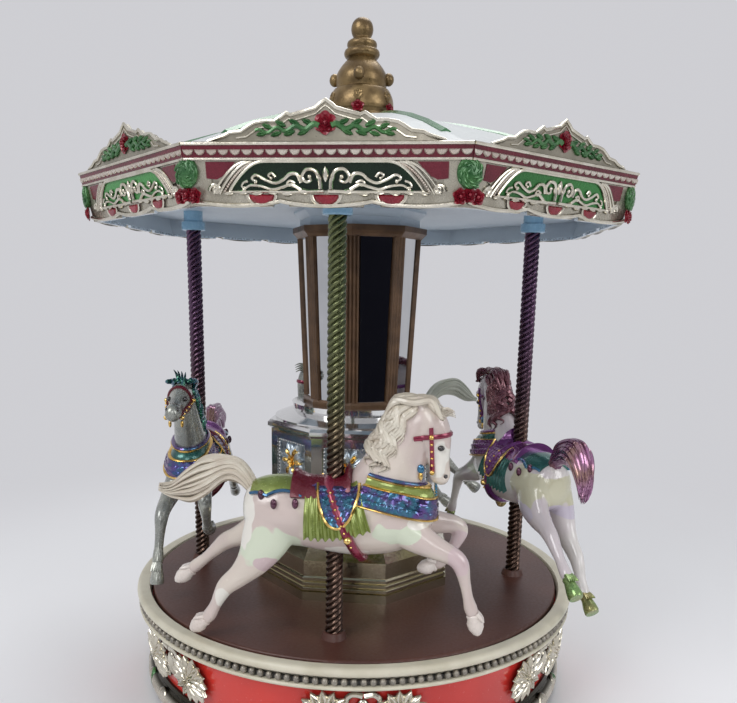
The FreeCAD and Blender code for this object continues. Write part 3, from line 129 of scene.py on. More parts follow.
class ShaderGroups:
    """Effects that several finishes share, each built once."""

    kinds = {**dict.fromkeys(("Vector", "Centre", "Size"), "Vector"),
             **dict.fromkeys(("First", "Second", "Low", "High", "Colour", "Wash", "Tint"), "Color")}

    def __init__(self) -> None:
        """Build the groups."""
        self.mottle = self._mottle()
        self.grain = self._grain()
        self.climb = self._climb()
        self.recess = self._recess()
        self.blotch = self._blotch()

    def _group(self, name: str, inputs: str, outputs: str = "Colour") -> tuple:
        """Make an empty shader group with named sockets.

        Args:
            name: The group's name.
            inputs: Names of its inputs, parted by spaces. Those not among the kinds are plain numbers.
            outputs: Names of its outputs.

        Returns:
            The group, its node helper, its input sockets and its output node.
        """
        group = bpy.data.node_groups.new(name, "ShaderNodeTree")
        for way, labels in (("INPUT", inputs), ("OUTPUT", outputs)):
            for label in labels.split():
                kind = "NodeSocket" + self.kinds.get(label, "Float")
                group.interface.new_socket(label, in_out=way, socket_type=kind)
        nodes = NodeTree(group)
        return group, nodes, nodes.add("NodeGroupInput").outputs, nodes.add("NodeGroupOutput")

    def _mottle(self) -> bpy.types.NodeTree:
        """Cloudy mix of two colours.

        Returns:
            The group.
        """
        group, nodes, start, end = self._group("Mottle", "Vector First Second Scale Detail Middle Edge")
        noise = nodes.noise(Vector=start["Vector"], Scale=start["Scale"], Detail=start["Detail"])
        low, high = (nodes.calc(way, start["Middle"], start["Edge"]) for way in ("SUBTRACT", "ADD"))
        nodes.feed(end, Colour=nodes.blend(nodes.ramp(noise, low, high), start["First"], start["Second"]))
        return group

    def _grain(self) -> bpy.types.NodeTree:
        """Fine surface grain: roughness between two values, and a height.

        Returns:
            The group.
        """
        group, nodes, start, end = self._group("Grain", "Vector Scale Smooth Rough", "Roughness Height")
        noise = nodes.noise(Vector=start["Vector"], Scale=start["Scale"], Detail=5.0)
        spread = nodes.feed(nodes.add("ShaderNodeMapRange"), Value=noise, From_Min=0.3, From_Max=0.7,
                            To_Min=start["Smooth"], To_Max=start["Rough"])
        nodes.feed(end, Roughness=spread.outputs["Result"], Height=noise)
        return group

    def _climb(self) -> bpy.types.NodeTree:
        """Blend of two colours from one height to another.

        Returns:
            The group.
        """
        group, nodes, start, end = self._group("Climb", "Vector Low High From To")
        height = nodes.feed(nodes.add("ShaderNodeSeparateXYZ"), start["Vector"]).outputs["Z"]
        share = nodes.ramp(height, start["From"], start["To"])
        nodes.feed(end, Colour=nodes.blend(share, start["Low"], start["High"]))
        return group

    def _recess(self) -> bpy.types.NodeTree:
        """Painted shade: a dark colour laid in the hollows of relief on a tapered wall, round or of eight
        sides; the fascia uses it for the pale blue of its inner face.

        Returns:
            The group.
        """
        group, nodes, start, end = self._group("Recess", "Vector Colour Wash Radius Taper Sided From To")
        calc = nodes.calc
        x, y, z = nodes.feed(nodes.add("ShaderNodeSeparateXYZ"), start["Vector"]).outputs
        side = pi / 4
        angle = calc("ADD", calc("ARCTAN2", y, x), 2.5 * side)
        folded = calc("SUBTRACT", calc("FLOORED_MODULO", angle, side), 0.5 * side)
        share = calc("COSINE", calc("MULTIPLY", folded, start["Sided"]))
        reach = calc("SQRT", calc("ADD", calc("MULTIPLY", x, x), calc("MULTIPLY", y, y)))
        wall = calc("ADD", calc("MULTIPLY", z, start["Taper"]), start["Radius"])
        proud = calc("SUBTRACT", calc("MULTIPLY", reach, share), wall)
        clear = nodes.ramp(proud, start["From"], start["To"])
        nodes.feed(end, Colour=nodes.blend(clear, start["Wash"], start["Colour"]))
        return group

    def _blotch(self) -> bpy.types.NodeTree:
        """Patch of colour with a wavering edge about a centre, which also carries painted highlights and
        painted reflections.

        Returns:
            The group.
        """
        group, nodes, start, end = self._group("Blotch", "Vector Colour Tint Centre Size")
        gap = nodes.vector("SUBTRACT", start["Vector"], start["Centre"]).outputs[0]
        share = nodes.vector("DIVIDE", gap, start["Size"]).outputs[0]
        reach = nodes.vector("LENGTH", share).outputs["Value"]
        noise = nodes.noise(Vector=start["Vector"], Scale=150.0, Detail=1.0)
        clear = nodes.ramp(nodes.calc("MULTIPLY_ADD", noise, 1.6, reach), 1.74, 1.86)
        nodes.feed(end, Colour=nodes.blend(clear, start["Tint"], start["Colour"]))
        return group


GROUPS = ShaderGroups()


@dataclass(frozen=True)
class Wash:
    """Painted shade in the hollows of relief on a tapered wall, in millimetres; on the fascia, the pale blue
    of its inner face instead.
    """

    radius: float
    taper: float
    sided: bool
    start: float
    end: float
    tint: Colour = (0.035, 0.03, 0.02)


@dataclass(frozen=True)
class Blotch:
    """Patch of colour: its centre and half sizes in the frame, in millimetres, and its colour. On the front
    horse these include painted highlights and painted reflections.
    """

    centre: Row
    size: Row
    tint: Colour


@dataclass(frozen=True)
class Finish:
    """One surface finish: clouded colours, grain and gloss."""

    name: str
    tints: tuple[Colour, ...]
    smooth: float = 0.25
    rough: float = 0.4
    metallic: float = 0.0
    coat: float = 0.0
    cloud: float = 60.0
    edge: float = 0.18
    grain: float = 900.0
    relief: float = 0.03
    climb: Optional[Colour] = None
    climb_from: float = 0.05
    climb_to: float = 0.18
    detail: float = 3.0
    wash: Optional[Wash] = None
    blotches: tuple[Blotch, ...] = ()
    glance: Optional[Colour] = None

    def material(self) -> bpy.types.Material:
        """Build the material once and return it.

        Returns:
            The material.
        """
        label = "finish_" + self.name
        made = bpy.data.materials.get(label)
        if made:
            return made
        made = bpy.data.materials.new(label)
        made.use_nodes = True
        nodes = NodeTree(made.node_tree)
        place = nodes.add("ShaderNodeTexCoord").outputs["Object"]
        grain = nodes.feed(nodes.add("ShaderNodeGroup", node_tree=GROUPS.grain), Vector=place,
                           Scale=self.grain, Smooth=self.smooth, Rough=self.rough).outputs
        bump = nodes.feed(nodes.add("ShaderNodeBump"), Strength=self.relief, Distance=MM,
                          Height=grain["Height"])
        nodes.feed(made.node_tree.nodes["Principled BSDF"], Base_Color=self._colour(nodes, place),
                   Roughness=grain["Roughness"], Normal=bump.outputs["Normal"], Metallic=self.metallic,
                   Coat_Weight=self.coat, Coat_Roughness=COAT_ROUGHNESS)
        return made

    def _colour(self, nodes: NodeTree, place: Socket) -> Socket:
        """Wire the clouded colour.

        Args:
            nodes: The material's nodes.
            place: Object coordinates.

        Returns:
            The colour's socket.
        """
        def layer(group: bpy.types.NodeTree, **values: object) -> Socket:
            """Colour of a shared effect at this place."""
            node = nodes.add("ShaderNodeGroup", node_tree=group)
            return nodes.feed(node, Vector=place, **values).outputs["Colour"]

        colour, wash = self.tints[0], self.wash
        for index, tint in enumerate(self.tints[1:]):
            colour = layer(GROUPS.mottle, First=colour, Second=tint, Scale=self.cloud * (1.0 + 0.63 * index),
                           Detail=self.detail, Middle=0.5, Edge=self.edge)
        if self.climb:
            colour = layer(GROUPS.climb, Low=colour, High=self.climb, From=self.climb_from, To=self.climb_to)
        # Painted shade in the hollows of the relief; on the fascia, the pale blue of its inner face.
        if wash:
            colour = layer(GROUPS.recess, Colour=colour, Wash=wash.tint, Radius=wash.radius * MM,
                           Taper=wash.taper, Sided=float(wash.sided), From=wash.start * MM, To=wash.end * MM)
        # Patches of colour, some of them painted highlights and painted reflections on the pearl coat.
        for blotch in self.blotches:
            colour = layer(GROUPS.blotch, Colour=colour, Tint=blotch.tint, Centre=Vector(blotch.centre) * MM,
                           Size=Vector(blotch.size) * MM)
        # Colour at a slant. On the green fields it is a painted reflection; on the scales and some hair it
        # shifts the hue, and on cream and purple hair it darkens towards the outline.
        if self.glance:
            facing = nodes.feed(nodes.add("ShaderNodeLayerWeight"), Blend=0.5).outputs["Facing"]
            colour = nodes.blend(nodes.ramp(facing, *GLANCE_FACING), colour, self.glance)
        return colour


RED = Finish("red_lacquer", ((0.66, 0.042, 0.03), (0.54, 0.03, 0.024)), 0.16, 0.28, coat=0.25, cloud=25)
IVORY = Finish("ivory_paint", ((0.66, 0.62, 0.50), (0.57, 0.53, 0.41)), 0.3, 0.45, cloud=90)
# Painted shadow: the rim's ivory channel is near black and its ivory beads dark grey, as they lie shaded
# under the lip.
BEAD = Finish("bead_grey", ((0.20, 0.185, 0.16), (0.34, 0.31, 0.26)), 0.25, 0.4, metallic=0.5, cloud=300)
SHADOW = Finish("channel_dark", ((0.025, 0.025, 0.025), (0.05, 0.045, 0.04)), 0.4, 0.6)
SILVER_TINTS = ((0.74, 0.70, 0.60), (0.58, 0.54, 0.44))
SILVER = Finish("champagne_silver", SILVER_TINTS, 0.14, 0.28, metallic=0.9, cloud=160)
# Painted shade: these silvers darken in the hollows of their relief.
BASE_SILVER, FOOT_SILVER, CANOPY_SILVER = (
    Finish(name, SILVER_TINTS, 0.12, 0.26, metallic=0.9, cloud=160, wash=wash)
    for name, wash in (("base_silver", Wash(80.29, 0.145, False, 0.5, 2.3)),
                       ("foot_silver", Wash(85.0, 0.0, False, -1.2, 0.9)),
                       ("canopy_silver", Wash(51.2, 0.2177, True, -0.1, 0.75))))
PALE_CREST = Finish("crest_champagne", ((0.32, 0.29, 0.23), (0.24, 0.22, 0.17)), 0.26, 0.4, metallic=0.35,
                    cloud=120)
# The fascia's inner face, behind its outer face, is coloured pale blue.
FASCIA = Finish("fascia_silver", ((0.50, 0.47, 0.39), (0.38, 0.35, 0.28)), 0.2, 0.34, metallic=0.6, cloud=140,
                wash=Wash(51.2, 0.2177, True, -1.5, -0.9, (0.60, 0.68, 0.75)))
# Painted reflection: the green lacquer on chrome is near black facing the eye and turns bright green at a
# slant.
GREEN = Finish("green_lacquer", ((0.004, 0.014, 0.007), (0.007, 0.026, 0.011)), 0.2, 0.34, metallic=0.4,
               glance=(0.06, 0.30, 0.07))
BRIGHT_GREEN = Finish("bright_green", ((0.016, 0.11, 0.04), (0.035, 0.17, 0.055)), 0.2, 0.34, metallic=0.2,
                      coat=0.4)
LEAF = Finish("leaf_green", ((0.02, 0.10, 0.026), (0.075, 0.21, 0.07)), 0.2, 0.34, metallic=0.3, coat=0.2,
              cloud=220)
PLUM = Finish("plum_lacquer", ((0.10, 0.007, 0.016), (0.15, 0.012, 0.026)), 0.2, 0.34, metallic=0.2, coat=0.1)
ROSE = Finish("rose_red", ((0.30, 0.014, 0.03), (0.19, 0.01, 0.022)), 0.2, 0.34, metallic=0.15, coat=0.3,
              cloud=260)
SCALLOP = Finish("scallop_white", ((0.66, 0.61, 0.54), (0.52, 0.44, 0.38)), 0.2, 0.34, metallic=0.5)
GOLD = Finish("antique_gold", ((0.25, 0.17, 0.075), (0.125, 0.08, 0.033)), 0.26, 0.44, metallic=0.6,
              cloud=180, relief=0.08)
PETAL_SILVER = Finish("petal_silver", ((0.60, 0.66, 0.70), (0.30, 0.36, 0.41)), 0.24, 0.42, metallic=0.9,
                      cloud=420, edge=0.08)
BRIGHT_GOLD = Finish("bright_gold", ((0.85, 0.60, 0.22), (0.60, 0.38, 0.10)), 0.12, 0.26, metallic=0.95,
                     cloud=240)
CHROME = Finish("plated_chrome", ((0.76, 0.76, 0.75), (0.64, 0.64, 0.64)), 0.06, 0.14, metallic=0.95,
                cloud=45, relief=0.0)
GOLD_CHROME = Finish("gilt_chrome", ((0.58, 0.53, 0.40), (0.42, 0.38, 0.24)), 0.1, 0.22, metallic=1.0,
                     cloud=40)
BRONZE = Finish("bronze_brown", ((0.155, 0.086, 0.045), (0.09, 0.05, 0.027)), 0.3, 0.45, metallic=0.35,
                cloud=130)
MIRROR = Finish("column_mirror", ((0.60, 0.61, 0.62), (0.52, 0.53, 0.55)), 0.02, 0.05, metallic=1.0,
                relief=0.0)
PALE_BLUE = Finish("ceiling_blue_grey", ((0.56, 0.64, 0.71), (0.49, 0.57, 0.65)), 0.32, 0.45, cloud=30)
SKY = Finish("sky_blue", ((0.34, 0.56, 0.74), (0.28, 0.50, 0.69)), 0.2, 0.32, coat=0.3)
ROOF = Finish("roof_pale", ((0.60, 0.63, 0.63), (0.52, 0.55, 0.56)), 0.3, 0.42, cloud=35)
BROWN = Finish("deck_brown", ((0.088, 0.032, 0.022), (0.066, 0.024, 0.017)), 0.36, 0.5, cloud=40)
STEEL = Finish("bright_steel", ((0.52, 0.53, 0.55), (0.40, 0.41, 0.43)), 0.2, 0.34, metallic=1.0)
BRASS = Finish("turned_brass", ((0.62, 0.44, 0.16), (0.48, 0.33, 0.11)), 0.2, 0.34, metallic=1.0)
BLACK = Finish("moulded_black", ((0.045, 0.04, 0.04), (0.07, 0.06, 0.06)), 0.45, 0.6, relief=0.08)
NYLON = Finish("white_nylon", ((0.72, 0.71, 0.68), (0.64, 0.63, 0.60)), 0.4, 0.55)


def placed(name: str, data: bpy.types.ID) -> bpy.types.Object:
    """Make an object of some data in the scene.

    Args:
        name: The object's name.
        data: Its mesh, lamp or camera.

    Returns:
        The object.
    """
    made = bpy.data.objects.new(name, data)
    bpy.context.scene.collection.objects.link(made)
    return made


def compass(angle: float) -> tuple[Vector, Vector, Matrix]:
    """Directions at an angle about the upright axis.

    Args:
        angle: The angle in radians.

    Returns:
        The direction outwards, the one along the wall, and the frame of along, up and out.
    """
    out = Vector((cos(angle), sin(angle), 0))
    along = Vector((-sin(angle), cos(angle), 0))
    return out, along, Matrix((along, UP, out)).transposed()


def spin(angle: float) -> Matrix:
    """Turn about the third axis, in radians."""
    return Matrix.Rotation(angle, 3, "Z")


def side_angle(side: float, sides: int) -> float:
    """Angle of one of the equal sides, counted from the front."""
    return radians(-90.0 + 360.0 * side / sides)


@dataclass(frozen=True)
class Spot:
    """Place of one repeated piece: where it lies, which way it faces and how large it is."""

    place: Vector
    turn: Matrix
    size: Vector


class Clay:
    """Points and faces in millimetres, gathered until they become one mesh."""

    def __init__(self) -> None:
        """Start empty."""
        self.points: list[Vector] = []
        self.faces: list[tuple[int, ...]] = []

    def rings(self, rings: Sequence[Sequence[Vector]], capped: bool = True, looped: bool = False) -> None:
        """Skin a row of equal closed rings.

        Args:
            rings: The rings in order.
            capped: Whether the ends are closed.
            looped: Whether the last ring joins the first.
        """
        base = len(self.points)
        count = len(rings[0])
        total = len(rings)
        for ring in rings:
            self.points.extend(ring)
        for row in range(total if looped else total - 1):
            here = base + row * count
            there = base + (row + 1) % total * count
            for step in range(count):
                after = (step + 1) % count
                self.faces.append((here + step, here + after, there + after, there + step))
        if capped and not looped:
            self.faces.append(tuple(reversed(range(base, base + count))))
            self.faces.append(tuple(range(base + (total - 1) * count, base + total * count)))

    def shell(self, outer: Sequence[Sequence[Vector]], inner: Sequence[Sequence[Vector]]) -> None:
        """Closed wall between two equal grids.

        Args:
            outer: Grid of the outer face.
            inner: Grid of the inner face.
        """
        rows, columns = len(outer), len(outer[0])
        base = len(self.points)
        for grid in (outer, inner):
            for row in grid:
                self.points.extend(row)
        back = base + rows * columns

        def at(row: int, column: int, start: int) -> int:
            """Index of a grid point."""
            return start + row * columns + column

        for row in range(rows - 1):
            for column in range(columns - 1):
                quad = [(row, column), (row, column + 1), (row + 1, column + 1), (row + 1, column)]
                self.faces.append(tuple(at(r, c, base) for r, c in quad))
                self.faces.append(tuple(at(r, c, back) for r, c in reversed(quad)))
        border = [(0, c) for c in range(columns)] + [(r, columns - 1) for r in range(1, rows)]
        border += [(rows - 1, c) for c in range(columns - 2, -1, -1)]
        border += [(r, 0) for r in range(rows - 2, 0, -1)]
        for (r1, c1), (r2, c2) in zip(border, border[1:] + border[:1]):
            self.faces.append((at(r1, c1, base), at(r1, c1, back), at(r2, c2, back), at(r2, c2, base)))

    def skin(self, rule: Callable[[float, float], tuple[Vector, Vector]], rows: int, columns: int) -> None:
        """Closed wall whose points follow a rule.

        Args:
            rule: Outer and inner point for two shares from 0 to 1.
            rows: Steps of the first share.
            columns: Steps of the second share.
        """
        across = [column / columns for column in range(columns + 1)]
        pairs = [[rule(row / rows, share) for share in across] for row in range(rows + 1)]
        self.shell(*([[pair[face] for pair in row] for row in pairs] for face in (0, 1)))

    def tube(self, path: Sequence[Vector], radii: Sequence[float], sides: int = 8, flat: float = 1.0,
             up: Vector = UP) -> None:
        """Round or flattened tube along a path.

        Args:
            path: Points of its middle line.
            radii: Radius at each point.
            sides: Points round the tube.
            flat: Ratio of its thickness along the up direction to its width.
            up: Direction that the section keeps towards.
        """
        rings = []
        for index, spot in enumerate(path):
            run = (path[min(index + 1, len(path) - 1)] - path[max(index - 1, 0)]).normalized()
            side = run.cross(up)
            side = side.normalized() if side.length > 1e-6 else run.orthogonal().normalized()
            lift = side.cross(run)
            ring = []
            for step in range(sides):
                angle = TAU * step / sides
                ring.append(spot + radii[index] * (side * cos(angle) + lift * (flat * sin(angle))))
            rings.append(ring)
        self.rings(rings)

    def lathe(self, profile: Sequence[tuple[float, float]], segments: int = 160, closed: bool = True) -> None:
        """Turn a profile about the upright axis.

        Args:
            profile: Points of radius and height.
            segments: Steps round the axis.
            closed: Whether the profile is a loop. An open one is capped flat at both ends.
        """
        angles = [TAU * step / segments for step in range(segments)]
        turns = [(cos(angle), sin(angle)) for angle in angles]
        rings = [[Vector((radius * c, radius * s, z)) for c, s in turns] for radius, z in profile]
        self.rings(rings, capped=not closed, looped=closed)

    def plate(self, outline: Sequence[tuple[float, float]], low: float, high: float,
              bevel: float = 0.0) -> None:
        """Flat plate in the local u, v plane with its face towards +w.

        Args:
            outline: Points of u and v, in order.
            low: Height of its back.
            high: Height of its face.
            bevel: Width of its rounded edge.
        """
        count = len(outline)
        middle = Vector((sum(p[0] for p in outline) / count, sum(p[1] for p in outline) / count))
        rings = [[Vector((u, v, low)) for u, v in outline],
                 [Vector((u, v, high - bevel)) for u, v in outline]]
        if bevel:
            pulled = []
            for u, v in outline:
                away = Vector((u, v)) - middle
                pull = Vector((u, v)) - away.normalized() * min(bevel, 0.4 * away.length)
                pulled.append(Vector((pull.x, pull.y, high)))
            rings.append(pulled)
        self.rings(rings)

    def put(self, other: "Clay", matrix: Matrix) -> None:
        """Add a copy of another lump through a matrix.

        Args:
            other: What to copy.
            matrix: Where it goes.
        """
        base = len(self.points)
        self.points.extend(matrix @ point for point in other.points)
        self.faces.extend(tuple(base + index for index in face) for face in other.faces)

    def bead(self, spot: Sequence[float], size: Row, sides: int = 8, rows: int = 6) -> None:
        """Add a bead.

        Args:
            spot: Its middle.
            size: Its three half sizes.
            sides: Points round it.
            rows: Rows from pole to pole.
        """
        self.put(ball(sides, rows), Matrix.Translation(spot) @ Matrix.Diagonal((*size, 1.0)))

    def mesh(self, name: str, sharp: float = 42.0) -> bpy.types.Object:
        """Make the object, in metres, with outward faces.

        Args:
            name: The object's name.
            sharp: Angle above which an edge stays sharp, in degrees.

        Returns:
            The object, linked to the scene.
        """
        data = bpy.data.meshes.new(name)
        data.from_pydata([point * MM for point in self.points], [], self.faces)
        tidy = bmesh.new()
        tidy.from_mesh(data)
        bmesh.ops.recalc_face_normals(tidy, faces=tidy.faces)
        tidy.to_mesh(data)
        tidy.free()
        data.shade_smooth()
        data.set_sharp_from_angle(angle=radians(sharp))
        return placed(name, data)


class Scatter:
    """Geometry Nodes tree that sets one shape at every point of a mesh."""

    def __init__(self) -> None:
        """Build the tree with its named inputs."""
        self.tree = bpy.data.node_groups.new("Scatter", "GeometryNodeTree")
        face = self.tree.interface
        _, self.shape, self.finish = (
            face.new_socket(label, in_out="INPUT", socket_type="NodeSocket" + kind).identifier
            for label, kind in (("Geometry", "Geometry"), ("Shape", "Object"), ("Finish", "Material")))
        face.new_socket("Geometry", in_out="OUTPUT", socket_type="NodeSocketGeometry")
        nodes = NodeTree(self.tree)
        start, end = nodes.add("NodeGroupInput").outputs, nodes.add("NodeGroupOutput")
        shape = nodes.feed(nodes.add("GeometryNodeObjectInfo"), Object=start["Shape"]).outputs["Geometry"]

        def kept(label: str) -> Socket:
            """Value that the points keep under a name."""
            node = nodes.add("GeometryNodeInputNamedAttribute", data_type="FLOAT_VECTOR")
            return nodes.feed(node, Name=label).outputs["Attribute"]

        turn = nodes.feed(nodes.add("FunctionNodeEulerToRotation"), kept("turn")).outputs[0]
        copies = nodes.feed(nodes.add("GeometryNodeInstanceOnPoints"), Points=start["Geometry"],
                            Instance=shape, Rotation=turn, Scale=kept("size")).outputs["Instances"]
        real = nodes.feed(nodes.add("GeometryNodeRealizeInstances"), Geometry=copies).outputs["Geometry"]
        paint = nodes.feed(nodes.add("GeometryNodeSetMaterial"), Geometry=real, Material=start["Finish"])
        nodes.feed(end, Geometry=paint.outputs["Geometry"])

    def spread(self, name: str, spots: Sequence[Spot], shape: Clay, finish: Finish, body: Body, slot: str,
               nodes: Sequence[str] = ()) -> None:
        """Make and dress one mesh of a shape repeated at the given spots.

        Args:
            name: The piece's name.
            spots: Where the copies go, in millimetres.
            shape: The shape, in millimetres about its own origin.
            finish: Its finish.
            body: The body that it rides on.
            slot: The record's material slot; not used.
            nodes: CAD nodes that it replaces.
        """
        pattern = shape.mesh(name + "_pattern")
        data = bpy.data.meshes.new(name)
        data.from_pydata([spot.place * MM for spot in spots], [], [])
        for label in ("turn", "size"):
            data.attributes.new(label, "FLOAT_VECTOR", "POINT")
        for index, spot in enumerate(spots):
            data.attributes["turn"].data[index].vector = spot.turn.to_euler()
            data.attributes["size"].data[index].vector = spot.size
        carrier = placed(name + "_points", data)
        modifier = carrier.modifiers.new("Scatter", "NODES")
        modifier.node_group = self.tree
        modifier[self.shape] = pattern
        modifier[self.finish] = finish.material()
        graph = bpy.context.evaluated_depsgraph_get()
        result = bpy.data.meshes.new_from_object(carrier.evaluated_get(graph))
        carrier.modifiers.remove(modifier)
        for extra in (carrier, pattern):
            bpy.data.objects.remove(extra)
        result.name = name
        dress(placed(name, result), finish, body, nodes)


SCATTER = Scatter()


def paint(piece: bpy.types.Object, finish: Finish) -> None:
    """Give an object its finish."""
    piece.data.materials.clear()
    piece.data.materials.append(finish.material())


def dress(piece: bpy.types.Object, finish: Finish, body: Body, nodes: Sequence[str] = ()) -> None:
    """Give a finished piece its material, body and the nodes that it stands for.

    Args:
        piece: The object.
        finish: Its finish.
        body: The body that it rides on.
        nodes: CAD nodes that it replaces.
    """
    paint(piece, finish)
    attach(piece, body.value)
    if nodes:
        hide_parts(*nodes)
    LOG.info("%s: %d faces on %s", piece.name, len(piece.data.polygons), body.value)


def paint_nodes(finishes: dict[Finish, str]) -> None:
    """Give the CAD nodes that are shown their finishes.

    Args:
        finishes: The names of the nodes, parted by spaces, for each finish.
    """
    for finish, nodes in finishes.items():
        for node in nodes.split():
            paint(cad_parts[node], finish)


def curve_through(rows: Sequence[Row], steps: int) -> list[list[float]]:
    """Smooth rows of numbers by a Catmull-Rom curve.

    Args:
        rows: Rows of equal length.
        steps: Steps between two rows.

    Returns:
        The finer rows.
    """
    fine = []
    last = len(rows) - 1
    for index in range(last):
        a, b = rows[max(index - 1, 0)], rows[index]
        c, d = rows[index + 1], rows[min(index + 2, last)]
        for step in range(steps):
            t = step / steps
            fine.append([0.5 * (2 * q + (r - p) * t + (2 * p - 5 * q + 4 * r - s) * t * t
                                + (3 * q - p - 3 * r + s) * t ** 3) for p, q, r, s in zip(a, b, c, d)])
    fine.append(list(rows[-1]))
    return fine


def scroll(start: tuple[float, float], heading: float, length: float, bend: tuple[float, float],
           steps: int = 28) -> list[Vector]:
    """Flat curve whose bend changes steadily along its length, as a scroll does.

    Args:
        start: Where it begins, u and v in millimetres.
        heading: First direction in degrees.
        length: Its length.
        bend: Turn per millimetre at its start and end, in degrees.
        steps: Pieces of the curve.

    Returns:
        Its points with w at zero.
    """
    points = [Vector((start[0], start[1], 0))]
    angle = radians(heading)
    stride = length / steps
    for step in range(steps):
        share = step / steps
        angle += radians(bend[0] + (bend[1] - bend[0]) * share) * stride
        points.append(points[-1] + Vector((cos(angle), sin(angle), 0)) * stride)
    return points


def ball(sides: int = 10, rows: int = 6) -> Clay:
    """Unit bead about the origin.

    Args:
        sides: Points round it.
        rows: Rows from pole to pole.

    Returns:
        The bead.
    """
    clay = Clay()
    profile = []
    for row in range(rows + 1):
        angle = pi * (row + 0.15 * (1 if row == 0 else -1 if row == rows else 0)) / rows
        profile.append((sin(angle), -cos(angle)))
    clay.lathe(profile, sides, closed=False)
    return clay


def leaf(rows: int = 8, across: int = 6, fold: float = 0.35) -> Clay:
    """Unit leaf from the origin along +v, with a creased middle and a curled tip.

    Args:
        rows: Steps along it.
        across: Steps across it.
        fold: Depth of the crease against its height.

    Returns:
        The leaf, one long, about a third wide.
    """
    def blade(t: float, share: float) -> tuple[Vector, Vector]:
        """Points of the blade.

        Args:
            t: Share along it from its stem.
            share: Share across it.

        Returns:
            The upper and the lower point.
        """
        s = 2.0 * share - 1.0
        half = 0.2 * sin(pi * min(t * 0.94 + 0.05, 1.0)) ** 0.75 * (1.0 + 0.12 * sin(TAU * 3 * t))
        height = 0.16 * sin(pi * (0.12 + 0.8 * t)) * (1.0 - s * s) ** 0.5
        height -= 0.16 * fold * max(0.0, 1.0 - abs(s) * 3.0) * sin(pi * t)
        return Vector((s * half, t, max(height, 0.0) + 0.02)), Vector((s * half, t, -0.03))

    clay = Clay()
    clay.skin(blade, rows, across)
    return clay


def rosette(petals: int = 5, rings: int = 3) -> Clay:
    """Unit rose facing +w: rings of cupped petals round a bud.

    Args:
        petals: Petals in the outer ring.
        rings: Rings of petals.

    Returns:
        The rose, radius one.
    """
    clay = Clay()
    for ring in range(rings):
        reach = 1.0 - 0.3 * ring
        rise = 0.18 + 0.24 * ring
        for step in range(petals):
            def petal(t: float, share: float) -> tuple[Vector, Vector]:
                """Points of one petal.

                Args:
                    t: Share along it from the bud.
                    share: Share across it.

                Returns:
                    The upper and the lower point.
                """
                s = 2.0 * share - 1.0
                width = 0.62 * reach * sin(pi * (0.2 + 0.62 * t))
                bowl = rise * (0.5 + 0.7 * t * t) + 0.16 * s * s
                spread = Vector((s * width, 0.12 + reach * t * (1 - 0.16 * s * s), bowl))
                turned = spin(TAU * (step + 0.5 * ring) / petals) @ spread
                return turned, turned - UP * 0.14

            clay.skin(petal, 4, 4)
    clay.bead((0, 0, 0.55), (0.26, 0.26, 0.4), 8, 5)
    return clay


def half_round(steps: int) -> list[tuple[float, float]]:
    """Lower half of a unit circle."""
    turns = [pi * step / steps - pi for step in range(steps + 1)]
    return [(cos(turn), sin(turn)) for turn in turns]


